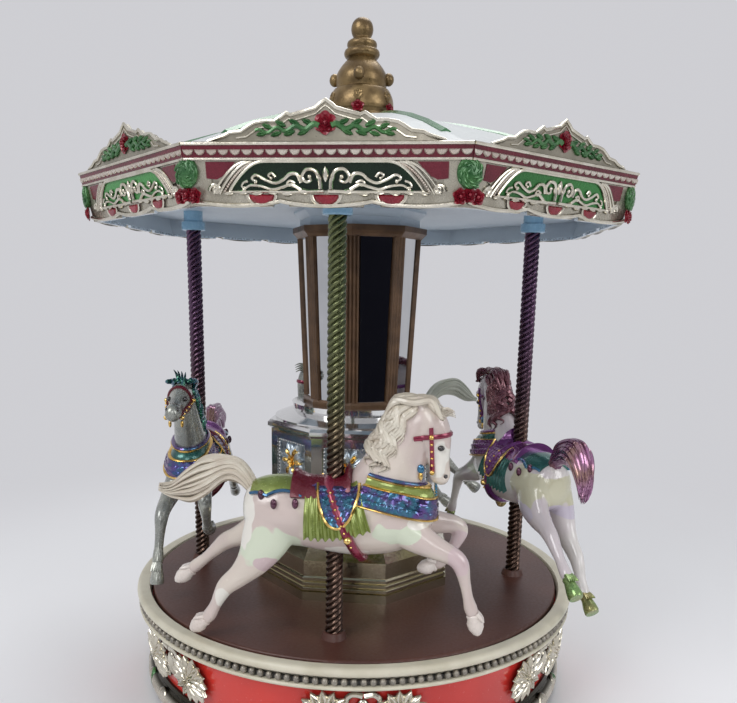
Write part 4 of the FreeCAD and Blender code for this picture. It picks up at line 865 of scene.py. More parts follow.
@dataclass
class Studio:
    """Camera, floor and soft lamps. Lengths in millimetres, angles in degrees."""

    focal_pixels: float = 739.256
    centre_x: float = 356.24
    centre_y: float = 440.96
    pitch: float = 11.765
    roll: float = 0.849
    azimuth: float = 5.74
    distance: float = 296.99
    height: float = 155.86
    image: tuple[int, int] = (737, 703)
    sensor: float = 36.0
    backdrop: Colour = (0.62, 0.62, 0.65)
    dim_room: Colour = (0.008, 0.008, 0.012)
    room_side: Row = (0.63, -0.77, -0.09)
    floor_radius: float = 430.0
    floor_fade: Row = (0.2, 0.4)
    floor_tone: Colour = (0.82, 0.82, 0.84)
    floor_roughness: float = 0.6
    even_light: Colour = (0.86, 0.88, 0.92)
    even_strength: float = 0.38
    aim_level: float = 110.0
    lamps: tuple = (("key", (-0.55, -0.65, 0.75), 0.6, 4.8), ("fill", (0.75, -0.45, 0.45), 0.5, 2.2),
                    ("top", (0.1, 0.35, 0.95), 0.6, 3.4), ("front", (0.1, -0.9, 0.35), 0.35, 1.0))

    def build(self) -> None:
        """Make the camera, world, floor and lamps."""
        self._camera()
        self._world()
        self._floor()
        self._lamps()

    def _camera(self) -> None:
        """Set the camera where the photograph was taken."""
        data = bpy.data.cameras.new("camera")
        width, height = self.image
        data.sensor_fit = "HORIZONTAL"
        data.sensor_width = self.sensor
        data.lens = self.focal_pixels / width * self.sensor
        data.shift_x = (0.5 * width - self.centre_x) / width
        data.shift_y = (self.centre_y - 0.5 * height) / width
        data.clip_start = 0.01
        data.clip_end = 50.0
        camera = placed("camera", data)
        turn, tilt, lean = (radians(angle) for angle in (self.azimuth, self.pitch, self.roll))
        forward = Vector((-sin(turn) * cos(tilt), cos(turn) * cos(tilt), -sin(tilt)))
        right = Vector((cos(turn), sin(turn), 0))
        above = right.cross(forward)
        basis = Matrix((right, above, -forward)).transposed().to_4x4()
        place = Vector((self.distance * sin(turn), -self.distance * cos(turn), self.height)) * MM
        camera.matrix_world = Matrix.Translation(place) @ basis @ Matrix.Rotation(lean, 4, "Z")
        bpy.context.scene.camera = camera

    def _world(self) -> None:
        """Pale grey world for the eye and for gloss, dim behind the viewer, over a plain even light."""
        world = bpy.data.worlds.new("studio")
        world.use_nodes = True
        bpy.context.scene.world = world
        nodes = NodeTree(world.node_tree)
        ends = world.node_tree.nodes
        plain = nodes.feed(ends["Background"], Color=self.even_light, Strength=self.even_strength)
        path = nodes.add("ShaderNodeLightPath").outputs
        way = nodes.add("ShaderNodeTexCoord").outputs["Generated"]
        facing = nodes.vector("DOT_PRODUCT", way, self.room_side).outputs["Value"]
        dim = nodes.calc("MULTIPLY", nodes.ramp(facing, 0.86, 0.96), path["Is Glossy Ray"])
        tone = nodes.blend(dim, self.backdrop, self.dim_room)
        seen = nodes.feed(nodes.add("ShaderNodeBackground"), Color=tone)
        either = path["Is Camera Ray"]
        for label in ("Is Glossy Ray", "Is Transmission Ray"):
            either = nodes.calc("MAXIMUM", either, path[label])
        mix = nodes.feed(nodes.add("ShaderNodeMixShader"), either, plain.outputs[0], seen.outputs[0])
        nodes.feed(ends["World Output"], Surface=mix.outputs["Shader"])

    def _floor(self) -> None:
        """Round pale floor that fades into the world's tone."""
        clay = Clay()
        clay.lathe([(self.floor_radius, -8.0), (self.floor_radius, -0.2), (0.5, -0.2), (0.5, -8.0)], 96)
        ground = clay.mesh("floor")
        material = bpy.data.materials.new("studio_floor")
        material.use_nodes = True
        nodes = NodeTree(material.node_tree)
        ends = material.node_tree.nodes
        near = nodes.feed(ends["Principled BSDF"], Base_Color=self.floor_tone, Roughness=self.floor_roughness)
        far = nodes.feed(nodes.add("ShaderNodeEmission"), Color=self.backdrop)
        reach = nodes.vector("LENGTH", nodes.add("ShaderNodeTexCoord").outputs["Object"]).outputs["Value"]
        seen = nodes.add("ShaderNodeLightPath").outputs["Is Camera Ray"]
        both = nodes.calc("MULTIPLY", nodes.ramp(reach, *self.floor_fade), seen)
        mix = nodes.feed(nodes.add("ShaderNodeMixShader"), both, near.outputs[0], far.outputs[0])
        nodes.feed(ends["Material Output"], Surface=mix.outputs["Shader"])
        ground.data.materials.append(material)

    def _lamps(self) -> None:
        """Large soft lamps at the left, at the right, above and in front."""
        for name, place, size, power in self.lamps:
            data = bpy.data.lights.new(name, "AREA")
            data.shape = "DISK"
            data.size = size
            data.energy = power
            lamp = placed(name, data)
            lamp.location = place
            aim = UP * (self.aim_level * MM) - Vector(place)
            lamp.rotation_euler = aim.to_track_quat("-Z", "Y").to_euler()


@dataclass
class Base:
    """Round base: red band, ivory rim with beads, fans of acanthus and the leafy foot."""

    rim_radius: float = 88.6
    rim_inner: float = 83.4
    rim_top: float = 40.2
    rim_bottom: float = 32.5
    bead_count: int = 180
    bead_radius: float = 1.15
    bead_level: float = 35.3
    band_low: tuple[float, float] = (82.0, 11.8)
    band_high: tuple[float, float] = (85.0, 32.5)
    fan_count: int = 7
    fan_turn: float = 8.0
    burst_side: float = 12.0
    burst_level: float = 11.2
    burst_rings: tuple[tuple[int, float, float, float], ...] = (
        (15, 9.4, 0.4, 1.0), (11, 6.6, 1.1, 1.0), (7, 3.8, 1.8, 1.1))
    cartouche: tuple[Row, ...] = (
        (0.3, 18.4), (3.4, 18.8), (5.3, 16.6), (4.6, 13.2), (3.0, 10.0), (3.4, 6.6), (5.6, 5.4),
        (6.4, 7.2), (5.2, 8.0))
    lip_height: float = 4.6
    lower_lip: float = 1.5
    channel_depth: float = 2.1
    bead_inset: float = 1.55
    foot_radius: float = 86.3
    foot_bottom: float = 1.8
    foot_leaves: int = 64

    def build(self) -> None:
        """Make and dress every piece of the base."""
        paint_nodes({RED: "base_shell", BLACK: "bottom_cover feet", NYLON: "slip_ring",
                     STEEL: "cover_screws plate_screws"})
        self._rim()
        self._fans()
        self._foot()

    def _rim(self) -> None:
        """Ivory lips, and between them the channel with its beads, darkened as painted shadow."""
        outer, inner, top, bottom = self.rim_radius, self.rim_inner, self.rim_top, self.rim_bottom
        under, over, depth = top - self.lip_height, bottom + self.lower_lip, outer - self.channel_depth
        upper, lower, channel, spots = Clay(), Clay(), Clay(), []
        lip = [(inner, under), (inner, top - 1.2), (inner + 0.5, top - 0.4)]
        for step in range(9):
            angle = pi * (0.5 - step / 8)
            lip.append((outer - 1.7 + 1.7 * cos(angle), top - 1.6 + 1.6 * sin(angle)))
        upper.lathe([*lip, (outer - 3.0, under)])
        dress(upper.mesh("rim_lip"), IVORY, Body.BASE, ("rim_ring",))
        foot = [(inner, bottom)]
        for step in range(7):
            angle = pi * (step / 6 - 0.5)
            foot.append((outer - 1.4 + 0.9 * cos(angle), bottom + 0.75 + 0.75 * sin(angle)))
        lower.lathe([*foot, (inner, over)])
        dress(lower.mesh("rim_foot"), IVORY, Body.BASE)
        channel.lathe([(inner, over), (depth, over), (depth, under), (inner, under)])
        dress(channel.mesh("rim_channel"), SHADOW, Body.BASE)
        for step in range(self.bead_count):
            angle = TAU * step / self.bead_count
            reach = outer - self.bead_inset
            spots.append(Spot(Vector((reach * cos(angle), reach * sin(angle), self.bead_level)),
                              spin(angle), Vector((1.0, 1.0, 1.15)) * self.bead_radius))
        SCATTER.spread("rim_beads", spots, ball(8, 6), BEAD, Body.BASE, "ivory_paint")

    def band_frame(self, degrees: float, level: float) -> Matrix:
        """Frame on the red band: u along it, v up its slope, w outwards.

        Args:
            degrees: Angle about the axis, where the front is -90.
            level: Height.

        Returns:
            The frame's matrix, in millimetres.
        """
        lean, rise = self.band_high[0] - self.band_low[0], self.band_high[1] - self.band_low[1]
        radius = self.band_low[0] + (level - self.band_low[1]) / rise * lean
        out, along, _ = compass(radians(degrees))
        slope = Vector((out.x * lean, out.y * lean, rise)).normalized()
        basis = Matrix((along, slope, along.cross(slope))).transposed().to_4x4()
        return Matrix.Translation(out * radius + UP * level) @ basis

    def on_band(self, degrees: float, u: float, v: float, w: float = 0.0) -> Matrix:
        """Frame at a distance along the band from a fan's middle.

        Args:
            degrees: The fan's angle.
            u: Distance along the band.
            v: Distance up it from its foot.
            w: Distance out of it.

        Returns:
            The frame's matrix.
        """
        turned = degrees + in_degrees(u / self.band_high[0])
        return self.band_frame(turned, self.band_low[1] + v) @ Matrix.Translation((0, 0, w))

    def _fans(self) -> None:
        """Acanthus fans: a leafy burst either side of a cartouche of scrolls."""
        leaves, greens, pads, volutes = [], [], Clay(), Clay()
        for fan in range(self.fan_count):
            degrees = self.fan_turn - 90.0 + 360.0 * fan / self.fan_count
            for side in (-1, 1):
                for count, length, lift, wide in self.burst_rings:
                    root = self.on_band(degrees, side * self.burst_side, self.burst_level, lift)
                    for step in range(count):
                        lean = spin(TAU * (step + 0.5 * lift) / count)
                        turn = root.to_3x3() @ lean @ Matrix.Rotation(0.16, 3, "X")
                        leaves.append(Spot(root.translation.copy(), turn,
                                           Vector((length * wide, length, 11.0))))
                for lean in (-0.5, 1.1):
                    root = self.on_band(degrees, side * self.burst_side, self.burst_level - 1.4, 2.2)
                    turn = root.to_3x3() @ spin(side * lean)
                    greens.append(Spot(root.translation.copy(), turn, Vector((6.5, 5.6, 6.0))))
                path = curve_through(self.cartouche, 6)
                radii = [1.1 - 0.5 * index / len(path) for index in range(len(path))]
                volutes.tube([self.on_band(degrees, side * u, v, 1.1).translation for u, v in path], radii, 7)
            heart = self.on_band(degrees, 0.0, 12.0, 1.0)
            pads.put(ball(14, 8), heart @ Matrix.Diagonal((2.6, 5.0, 1.5, 1.0)))
        SCATTER.spread("base_fans", leaves, leaf(8, 6, 0.55), BASE_SILVER, Body.BASE, "champagne_silver",
                       ("base_cartouches",))
        SCATTER.spread("base_green_leaves", greens, leaf(8, 6), LEAF, Body.BASE, "green_lacquer")
        dress(volutes.mesh("base_volutes"), BASE_SILVER, Body.BASE)
        dress(pads.mesh("base_shells"), BASE_SILVER, Body.BASE)

    def _foot(self) -> None:
        """Leafy moulding round the foot, with green leaves among the silver ones."""
        ring = Clay()
        inner, outer, low = self.band_low[0], self.foot_radius, self.foot_bottom
        profile = [(inner, low)]
        for step in range(9):
            angle = pi * (step / 8 - 0.5)
            profile.append((inner + 1.4 + (outer - inner - 2.0) * cos(angle), low + 3.2 + 3.2 * sin(angle)))
        profile += [(inner + 0.9, low + 7.2), (inner + 1.5, low + 8.6), (inner + 0.9, low + 9.9),
                    (inner, low + 9.9)]
        ring.lathe(profile)
        dress(ring.mesh("foot_moulding"), FOOT_SILVER, Body.BASE, ("bottom_moulding",))
        silver, green = [], []
        for step in range(self.foot_leaves):
            out, _, basis = compass(TAU * (step + 0.5) / self.foot_leaves)
            lean = 0.55 if step % 2 else -0.55
            turn = basis @ spin(lean) @ Matrix.Rotation(-0.12, 3, "X")
            spot = Spot(out * (outer - 1.6) + UP * (low + 0.9), turn, Vector((9.0, 7.6, 8.0)))
            (green if step % 4 == 1 else silver).append(spot)
        SCATTER.spread("foot_leaves", silver, leaf(), FOOT_SILVER, Body.BASE, "champagne_silver")
        SCATTER.spread("foot_green_leaves", green, leaf(), LEAF, Body.BASE, "green_lacquer")


@dataclass
class Tower:
    """Deck, plinth, drum and mirror column."""

    drum_face: float = 32.33
    panel_depth: float = 0.9
    panel_levels: tuple[float, float] = (71.5, 89.9)
    sides: int = 8
    panel_half: float = 9.25
    panel_tall: float = 8.0
    bead_inset: float = 0.6
    rose_leaves: int = 6
    spray_petals: int = 14
    frame_beads: int = 44

    def build(self) -> None:
        """Dress the CAD nodes and make the gold relief of the drum."""
        paint_nodes({BROWN: "deck", BLACK: "drive_hub", GOLD_CHROME: "plinth", CHROME: "drum drum_top",
                     BRONZE: "column_frame", MIRROR: "mirror_panels", PALE_BLUE: "column_head",
                     STEEL: "centre_rod rod_nut"})
        self._flowers()

    def _flowers(self) -> None:
        """Gold rose on a burst of silver petals in each sunk panel, inside a beaded frame."""
        roses, leaves, beads, sprays, panels, sheet = [], [], [], [], Clay(), Clay()
        wide, tall = self.panel_half - 0.4, self.panel_tall - 0.4
        sheet.plate([(-wide, -tall), (wide, -tall), (wide, tall), (-wide, tall)], -0.3, 0.12)
        for side in range(self.sides):
            out, along, basis = compass(side_angle(side, self.sides))
            for level in self.panel_levels:
                middle = out * (self.drum_face - self.panel_depth) + UP * level
                panels.put(sheet, Matrix.Translation(middle) @ basis.to_4x4())
                roses.append(Spot(middle, basis, Vector((2.9, 2.9, 1.9))))
                for step in range(self.rose_leaves):
                    turn = basis @ spin(TAU * (step + 0.5) / self.rose_leaves)
                    reach = middle + turn @ Vector((0, 2.2, 0.1))
                    leaves.append(Spot(reach, turn, Vector((5.6, 4.2 if step % 3 else 3.4, 9.0))))
                for step in range(self.spray_petals):
                    turn = basis @ spin(TAU * step / self.spray_petals)
                    size = Vector((7.0, 6.4 if step % 2 else 5.0, 6.0))
                    sprays.append(Spot(middle + turn @ Vector((0, 1.6, 0)), turn, size))
                for step in range(self.frame_beads):
                    edge, share = divmod(step / self.frame_beads * 4, 1)
                    run = 2 * share - 1
                    u, v = ((run, -1), (1, run), (-run, 1), (-1, -run))[int(edge)]
                    shift = along * (u * (self.panel_half - self.bead_inset))
                    place = middle + shift + UP * (v * (self.panel_tall - self.bead_inset))
                    beads.append(Spot(place, basis, Vector((0.42, 0.42, 0.6))))
        SCATTER.spread("drum_roses", roses, rosette(5, 3), BRIGHT_GOLD, Body.TURNTABLE, "gold_paint",
                       ("drum_flowers",))
        SCATTER.spread("drum_leaves", leaves, leaf(), BRIGHT_GOLD, Body.TURNTABLE, "gold_paint")
        dress(panels.mesh("drum_panels"), PETAL_SILVER, Body.TURNTABLE)
        SCATTER.spread("drum_sprays", sprays, leaf(), PETAL_SILVER, Body.TURNTABLE, "chrome_plating")
        SCATTER.spread("drum_beads", beads, ball(6, 4), CHROME, Body.TURNTABLE, "chrome_plating")


@dataclass
class Canopy:
    """Fascia, crests, shields, roof and finial."""

    top_radius: float = 100.8
    bottom_radius: float = 97.1
    bottom: float = 176.9
    height: float = 15.7
    sides: int = 8
    scallops: int = 24
    lining_inset: float = 1.0
    crest_half: float = 31.5
    crest_height: float = 10.6
    finial_bottom: float = 220.3
    finial_height: float = 32.2
    finial_radius: float = 12.0
    finial_lugs: int = 4
    finial_curls: int = 12
    finial_roses: int = 6
    shield_leaves: int = 26
    wave_steps: int = 96
    vine_steps: int = 48

    def build(self) -> None:
        """Make and dress every piece of the canopy."""
        paint_nodes({PALE_BLUE: "ceiling", SKY: "pole_collars", ROOF: "roof", BRIGHT_GREEN: "roof_ribs",
                     FASCIA: "fascia"})
        self._bands()
        self._fields()
        self._scrollwork()
        self._swags()
        self._crests()
        self._shields()
        self._finial()

    def panel(self, side: int) -> Matrix:
        """Frame on one fascia panel: u along it, v up its slope, w outwards.

        Args:
            side: Panel number, 0 at the front.

        Returns:
            The frame's matrix, in millimetres.
        """
        cosine = cos(pi / self.sides)
        out, along, _ = compass(side_angle(side, self.sides))
        rise = UP * self.height + out * ((self.top_radius - self.bottom_radius) * cosine)
        slope = rise.normalized()
        basis = Matrix((along, slope, along.cross(slope))).transposed().to_4x4()
        return Matrix.Translation(out * (self.bottom_radius * cosine) + UP * self.bottom) @ basis

    def all_sides(self, one: Clay, name: str, finish: Finish, nodes: Sequence[str] = (),
                  crested: bool = False) -> None:
        """Repeat a lump on every side as one piece.

        Args:
            one: The lump in the coordinates of a panel or a crest.
            name: The piece's name.
            finish: Its finish.
            nodes: CAD nodes that it replaces.
            crested: Whether it stands on the crests and not on the panels.
        """
        whole = Clay()
        for side in range(self.sides):
            whole.put(one, self.crest_frame(side) if crested else self.panel(side))
        dress(whole.mesh(name), finish, Body.TURNTABLE, nodes)

    def half_width(self, v: float) -> float:
        """Half the panel's width at a distance up its slope."""
        radius = self.bottom_radius + v / self.height * (self.top_radius - self.bottom_radius)
        return radius * sin(pi / self.sides)

    def spots_on_panels(self, local: Sequence[tuple[float, float, float, float, Vector]]) -> list[Spot]:
        """Place local spots on every panel.

        Args:
            local: Tuples of u, v, w, lean in degrees and size.

        Returns:
            The spots.
        """
        spots = []
        for side in range(self.sides):
            base = self.panel(side)
            for u, v, w, lean, size in local:
                turn = base.to_3x3() @ spin(radians(lean))
                spots.append(Spot(base @ Vector((u, v, w)), turn, size))
        return spots

    def _bands(self) -> None:
        """Red band with its scallops and the silver lines that edge it."""
        band = Clay()
        low, high = 12.2, 15.9
        band.plate([(-self.half_width(low), low), (self.half_width(low), low), (self.half_width(high), high),
                    (-self.half_width(high), high)], -0.4, 0.35)
        self.all_sides(band, "fascia_red_band", PLUM)
        lines = Clay()
        for level, size in ((low - 0.1, 0.42), (high + 0.05, 0.5)):
            half = self.half_width(level)
            lines.tube([Vector((-half, level, 0.3)), Vector((half, level, 0.3))], [size, size], 8)
        self.all_sides(lines, "fascia_lines", CANOPY_SILVER)
        lining = Clay()
        foot, head = ((self.half_width(v) - self.lining_inset, v) for v in (0.4, 7.4))
        lining.plate([(-foot[0], foot[1]), foot, head, (-head[0], head[1])], -2.55, -2.0)
        self.all_sides(lining, "fascia_lining", PALE_BLUE)
        cup = Clay()
        cup.plate(half_round(8), -0.2, 0.5, 0.3)
        pitch = 2 * self.half_width(14) / self.scallops
        local = []
        for step in range(self.scallops):
            u = (step + 0.5) * pitch - self.half_width(14)
            local.append((u, 14.5, 0.35, 0.0, Vector((0.46 * pitch, 1.5, 1.2))))
        SCATTER.spread("fascia_scallops", self.spots_on_panels(local), cup, SCALLOP, Body.TURNTABLE,
                       "champagne_silver")

    def _fields(self) -> None:
        """Green fields with curved shoulders, near black facing the eye as painted reflection, plum
        spandrels, and silver bars with volutes.
        """
        low, high, wide, narrow = 4.2, 11.5, 26.0, 16.6
        curve = [(step / 12, sin(0.5 * pi * step / 12) ** 0.9) for step in range(13)]
        shoulder = [(wide - (wide - narrow) * t, low + (high - low) * rise) for t, rise in curve]
        field_plate, spandrels, trims = Clay(), Clay(), Clay()
        field_plate.plate(shoulder + [(-u, v) for u, v in reversed(shoulder)], -0.6, 0.06)
        self.all_sides(field_plate, "fascia_green_fields", GREEN)
        corner = [(24.2, 11.4), (32.4, 11.4), (32.4, 7.2), (29.6, 6.9), (28.0, 7.7), (26.2, 9.2)]
        volute = scroll((31.8, 4.0), 96, 11.0, (22.0, 110.0), 30)
        bars = [[(foot - reach * t, 3.3 + 8.1 * rise) for t, rise in curve]
                for foot, reach in ((30.6, 9.6), (29.0, 9.4))]
        for side in (-1, 1):
            spandrels.plate([(side * u, v) for u, v in corner[::side]], -0.6, 0.2)
            for line, size in ((shoulder, 0.5), (bars[0], 0.42), (bars[1], 0.42)):
                trims.tube([Vector((side * u, v, 0.3)) for u, v in line], [size] * len(line), 8)
            trims.tube([Vector((side * p.x, p.y, 0.4)) for p in volute],
                       [0.5 - 0.2 * i / 30 for i in range(31)], 7)
        trims.tube([Vector((-narrow, high, 0.3)), Vector((narrow, high, 0.3))], [0.45, 0.45], 8)
        self.all_sides(spandrels, "fascia_spandrels", PLUM)
        self.all_sides(trims, "fascia_trims", CANOPY_SILVER)
        local = [(side * (u + 1.5), v - 0.2, 0.15, 0.0, Vector((0.42, 0.42, 0.5)))
                 for side in (-1, 1) for u, v in curve_through(shoulder, 2)]
        SCATTER.spread("fascia_beads", self.spots_on_panels(local), ball(6, 4), SCALLOP, Body.TURNTABLE,
                       "champagne_silver")

    def _scrollwork(self) -> None:
        """Silver scrolls either side of a crown, over a row of leaves along the foot of each field."""
        tubes, leaves = Clay(), []
        strokes = (
            (((1.4, 4.6), (1.6, 7.0), (2.8, 9.2), (5.0, 9.5), (6.3, 7.8), (5.4, 6.4), (4.0, 6.7),
              (4.3, 7.7)), 0.58),
            (((6.5, 6.2), (7.6, 8.3), (9.6, 8.3), (11.4, 6.9), (13.6, 6.1), (16.2, 6.9), (18.6, 8.1),
              (19.9, 7.3), (18.9, 6.5)), 0.55),
            (((6.6, 4.4), (9.2, 5.7), (11.6, 5.1), (14.4, 4.5), (17.4, 5.3), (20.4, 5.5), (22.2, 4.4)), 0.52),
            (((8.2, 6.1), (9.6, 6.7), (10.4, 6.0), (9.6, 5.5)), 0.4),
            (((13.4, 7.6), (14.4, 8.6), (15.4, 8.0), (14.6, 7.3)), 0.4),
            (((21.0, 6.6), (22.2, 6.2), (22.8, 5.2), (21.9, 4.9)), 0.36),
            (((0.6, 4.0), (9.0, 3.8), (18.0, 3.9), (26.0, 3.8)), 0.5))
        for points, size in strokes:
            path = curve_through(points, 7)
            last = len(path) - 1
            radii = [size * (1.0 - 0.4 * index / last) for index in range(last + 1)]
            for side in (1, -1):
                tubes.tube([Vector((side * u, v, 0.45)) for u, v in path], radii, 7)
                tubes.bead((side * path[-1][0], path[-1][1], 0.5), (1.1 * size,) * 3)
        sprigs = (
            (0, 6.4, 0, 3.8), (1.2, 6.0, -24, 3.0), (4.4, 3.7, -84, 3.4), (8.6, 3.6, -96, 3.4),
            (12.8, 3.6, -86, 3.4), (17.0, 3.6, -96, 3.2), (21.0, 3.6, -88, 3.0), (25.0, 3.6, -96, 2.8))
        for u, v, lean, length in sprigs:
            for side in ((1, -1) if u else (1,)):
                leaves.append((side * u, v, 0.3, side * lean, Vector((length * 1.3, length, 4.0))))
        self.all_sides(tubes, "fascia_scrolls", CANOPY_SILVER)
        SCATTER.spread("fascia_leaves", self.spots_on_panels(leaves), leaf(6, 4), CANOPY_SILVER,
                       Body.TURNTABLE, "champagne_silver")

    def _swags(self) -> None:
        """Wavy silver edge with three red half-round swags on each panel."""
        edge = Clay()
        reach = self.half_width(0.0)
        path = []
        for step in range(self.wave_steps + 1):
            u = reach * (2.0 * step / self.wave_steps - 1.0)
            path.append(Vector((u, 1.5 - 1.25 * abs(cos(pi * 1.5 * u / reach)) ** 0.8, 0.25)))
        edge.tube(path, [0.62] * len(path), 8)
        self.all_sides(edge, "valance_edge", CANOPY_SILVER)
        cup, trim, arc = Clay(), Clay(), half_round(12)
        cup.plate(arc, -0.4, 0.5, 0.35)
        trim.tube([Vector((c * 1.12, s * 1.12, 0.2)) for c, s in arc], [0.13] * len(arc), 6)
        local = [(u, 3.1, 0.25, 0.0, Vector((3.5, 2.6, 1.4))) for u in (-17.5, 0.0, 17.5)]
        spots = self.spots_on_panels(local)
        SCATTER.spread("valance_swags", spots, cup, ROSE, Body.TURNTABLE, "red_lacquer")
        SCATTER.spread("valance_swag_trims", spots, trim, SILVER, Body.TURNTABLE, "champagne_silver")

    def crest_outline(self, inset: float = 0.0) -> list[tuple[float, float]]:
        """Stepped wavy outline of a crest.

        Args:
            inset: How far it is drawn in.

        Returns:
            Points of u and v.
        """
        terraces = (
            (0, 1.0), (0.05, 0.9), (0.085, 0.81), (0.17, 0.74), (0.29, 0.65), (0.33, 0.7), (0.37, 0.62),
            (0.425, 0.52), (0.52, 0.52), (0.60, 0.48), (0.65, 0.4), (0.715, 0.28), (0.81, 0.25),
            (0.86, 0.17), (1.0, 0.04))
        half, tall = self.crest_half - inset, self.crest_height - inset
        top = [(half * u, tall * v) for u, v in terraces]
        right = [(half, 0.0)] + top[::-1]
        return right[:-1] + [(-u, v) for u, v in reversed(right)]

    def _crests(self) -> None:
        """Crests with a raised edge, a rose at the middle and leaf sprays."""
        plate, rims, garland, roses, leaves = Clay(), Clay(), Clay(), [], []
        outline = self.crest_outline()
        plate.plate(outline, -2.0, -0.5)
        line = [Vector((u, v, -0.35)) for u, v in outline]
        rims.tube(line[1:-1], [0.5] * (len(line) - 2), 7)
        inner = [Vector((u * 0.93, max(v - 1.4, 0.8), -0.45)) for u, v in outline]
        rims.tube(inner[3:-3], [0.3] * (len(inner) - 6), 6)
        self.all_sides(plate, "crest_plates", PALE_CREST, ("crest_gables",), crested=True)
        self.all_sides(rims, "crest_rims", SILVER, crested=True)
        sprays = (
            (3.2, 4.6, -70, 3.2), (4.4, 3.2, -112, 3.2), (6.8, 4.5, -68, 3.2), (8.0, 2.9, -108, 3.2),
            (10.4, 4.1, -66, 3.2), (11.6, 2.6, -106, 3.0), (14.0, 3.6, -70, 3.0), (15.4, 2.5, -100, 3.0))
        steps = self.vine_steps
        for side in (-1, 1):
            vine = []
            for i in range(steps + 1):
                v = 4.2 - 1.4 * i / steps + 0.55 * sin(3.4 * TAU * i / steps)
                vine.append(Vector((side * (1.6 + 17.0 * i / steps), v, -0.35)))
            garland.tube(vine, [0.85 - 0.45 * i / steps for i in range(steps + 1)], 7)
        self.all_sides(garland, "crest_garlands", LEAF, crested=True)
        for base in (self.crest_frame(side) for side in range(self.sides)):
            roses.append(Spot(base @ Vector((0, 4.9, -0.5)), base.to_3x3(), Vector((2.7, 2.7, 1.4))))
            for u, v, lean, length in sprays:
                for side in (1, -1):
                    turn = base.to_3x3() @ spin(radians(side * lean))
                    leaves.append(Spot(base @ Vector((side * u, v, -0.4)), turn,
                                       Vector((length * 1.1, length, 5.0))))
        SCATTER.spread("crest_roses", roses, rosette(6, 4), ROSE, Body.TURNTABLE, "red_lacquer")
        SCATTER.spread("crest_leaves", leaves, leaf(), LEAF, Body.TURNTABLE, "green_lacquer")

    def crest_frame(self, side: int) -> Matrix:
        """Upright frame on top of one panel.

        Args:
            side: Panel number.

        Returns:
            The frame's matrix.
        """
        out, _, basis = compass(side_angle(side, self.sides))
        reach = self.top_radius * cos(pi / self.sides) - 0.1
        return Matrix.Translation(out * reach + UP * (self.bottom + self.height)) @ basis.to_4x4()

    def _shields(self) -> None:
        """Green embossed ovals on the corners, each with red flowers below."""
        domes, petals, bumps = [], [], []
        for side in range(self.sides):
            out, along, basis = compass(side_angle(side + 0.5, self.sides))
            low = out * (self.bottom_radius + 0.4)
            middle = low + out * 1.4 + UP * (self.bottom + 8.4)
            domes.append(Spot(middle, basis, Vector((3.7, 4.2, 1.5))))
            for step in range(self.shield_leaves):
                reach = sqrt((step + 0.5) / self.shield_leaves)
                turn = GOLDEN_ANGLE * step
                u, v = 3.4 * reach * cos(turn), 3.9 * reach * sin(turn)
                place = middle + along * u + UP * v + out * (1.35 * sqrt(max(0.0, 1 - reach * reach * 0.9)))
                bumps.append(Spot(place, basis @ spin(turn), Vector((2.6, 1.9, 2.2))))
            flower = low + out * 0.7 + UP * (self.bottom + 2.4)
            for step, shift in enumerate((-2.5, 0.0, 2.5)):
                place = flower + along * shift + out * (0.5 - 0.1 * abs(shift)) + UP * (0.5 * (step % 2))
                petals.append(Spot(place, basis, Vector((1.9, 2.0, 1.4))))
        dome = ball(18, 10)
        SCATTER.spread("shield_ovals", domes, dome, LEAF, Body.TURNTABLE, "green_lacquer",
                       ("corner_shields",))
        SCATTER.spread("shield_leaves", bumps, leaf(5, 4), LEAF, Body.TURNTABLE, "green_lacquer")
        SCATTER.spread("shield_flowers", petals, rosette(5, 3), ROSE, Body.TURNTABLE, "red_lacquer")

    def _finial(self) -> None:
        """Turned gold finial with lugs and a scrolled foot, over a ring of roses."""
        clay = Clay()
        radius, tall, low = self.finial_radius, self.finial_height, self.finial_bottom
        turned = [
            (0.917, -0.124), (0.917, -0.03), (1.0, 0.0), (1.0, 0.09), (0.95, 0.16), (0.86, 0.22),
            (0.76, 0.24), (0.80, 0.30), (0.78, 0.38), (0.66, 0.46), (0.50, 0.53), (0.42, 0.56),
            (0.50, 0.575), (0.55, 0.61), (0.52, 0.65), (0.43, 0.67), (0.46, 0.70), (0.44, 0.74),
            (0.30, 0.775), (0.27, 0.79), (0.32, 0.83), (0.34, 0.88), (0.30, 0.94), (0.19, 0.985),
            (0.04, 1.0)]
        clay.lathe([(r * radius, low + z * tall) for r, z in curve_through(turned, 3)], 72, closed=False)
        for step in range(self.finial_lugs):
            place = compass(TAU * step / self.finial_lugs)[0] * (0.84 * radius) + UP * (low + 0.34 * tall)
            clay.bead(place, (2.0, 2.0, 2.3), 12, 8)
        for step in range(self.finial_curls):
            out, along, _ = compass(TAU * (step + 0.5) / self.finial_curls)
            side = 1 if step % 2 else -1
            curl = scroll((side * 2.4, -0.8), 90 - side * 90, 12.0, (side * 20.0, side * 70.0), 26)
            path = []
            for p in curl:
                spot = out * (0.985 * radius - 0.12 * p.y) + along * (-p.x) + UP * (low + 2.6 + p.y)
                reach = 0.99 * radius - 0.25 * max(0.0, spot.z - low - 3.4)
                path.append(Vector((spot.x, spot.y, 0)).normalized() * reach + UP * spot.z)
            clay.tube(path, [0.62 - 0.3 * index / 26 for index in range(27)], 6)
        dress(clay.mesh("finial_turned"), GOLD, Body.TURNTABLE, ("finial",))
        petals = []
        for step in range(self.finial_roses):
            out, _, basis = compass(TAU * (step + 0.5) / self.finial_roses)
            petals.append(Spot(out * (radius + 0.6) + UP * (low - 0.6), basis, Vector((2.2, 1.8, 1.3))))
        SCATTER.spread("finial_roses", petals, rosette(5, 3), ROSE, Body.TURNTABLE, "red_lacquer")


class PoleTone(Enum):
    """Plating tones of the poles, as they climb from the deck."""

    GILT = "gilt"
    PURPLE = "purple"


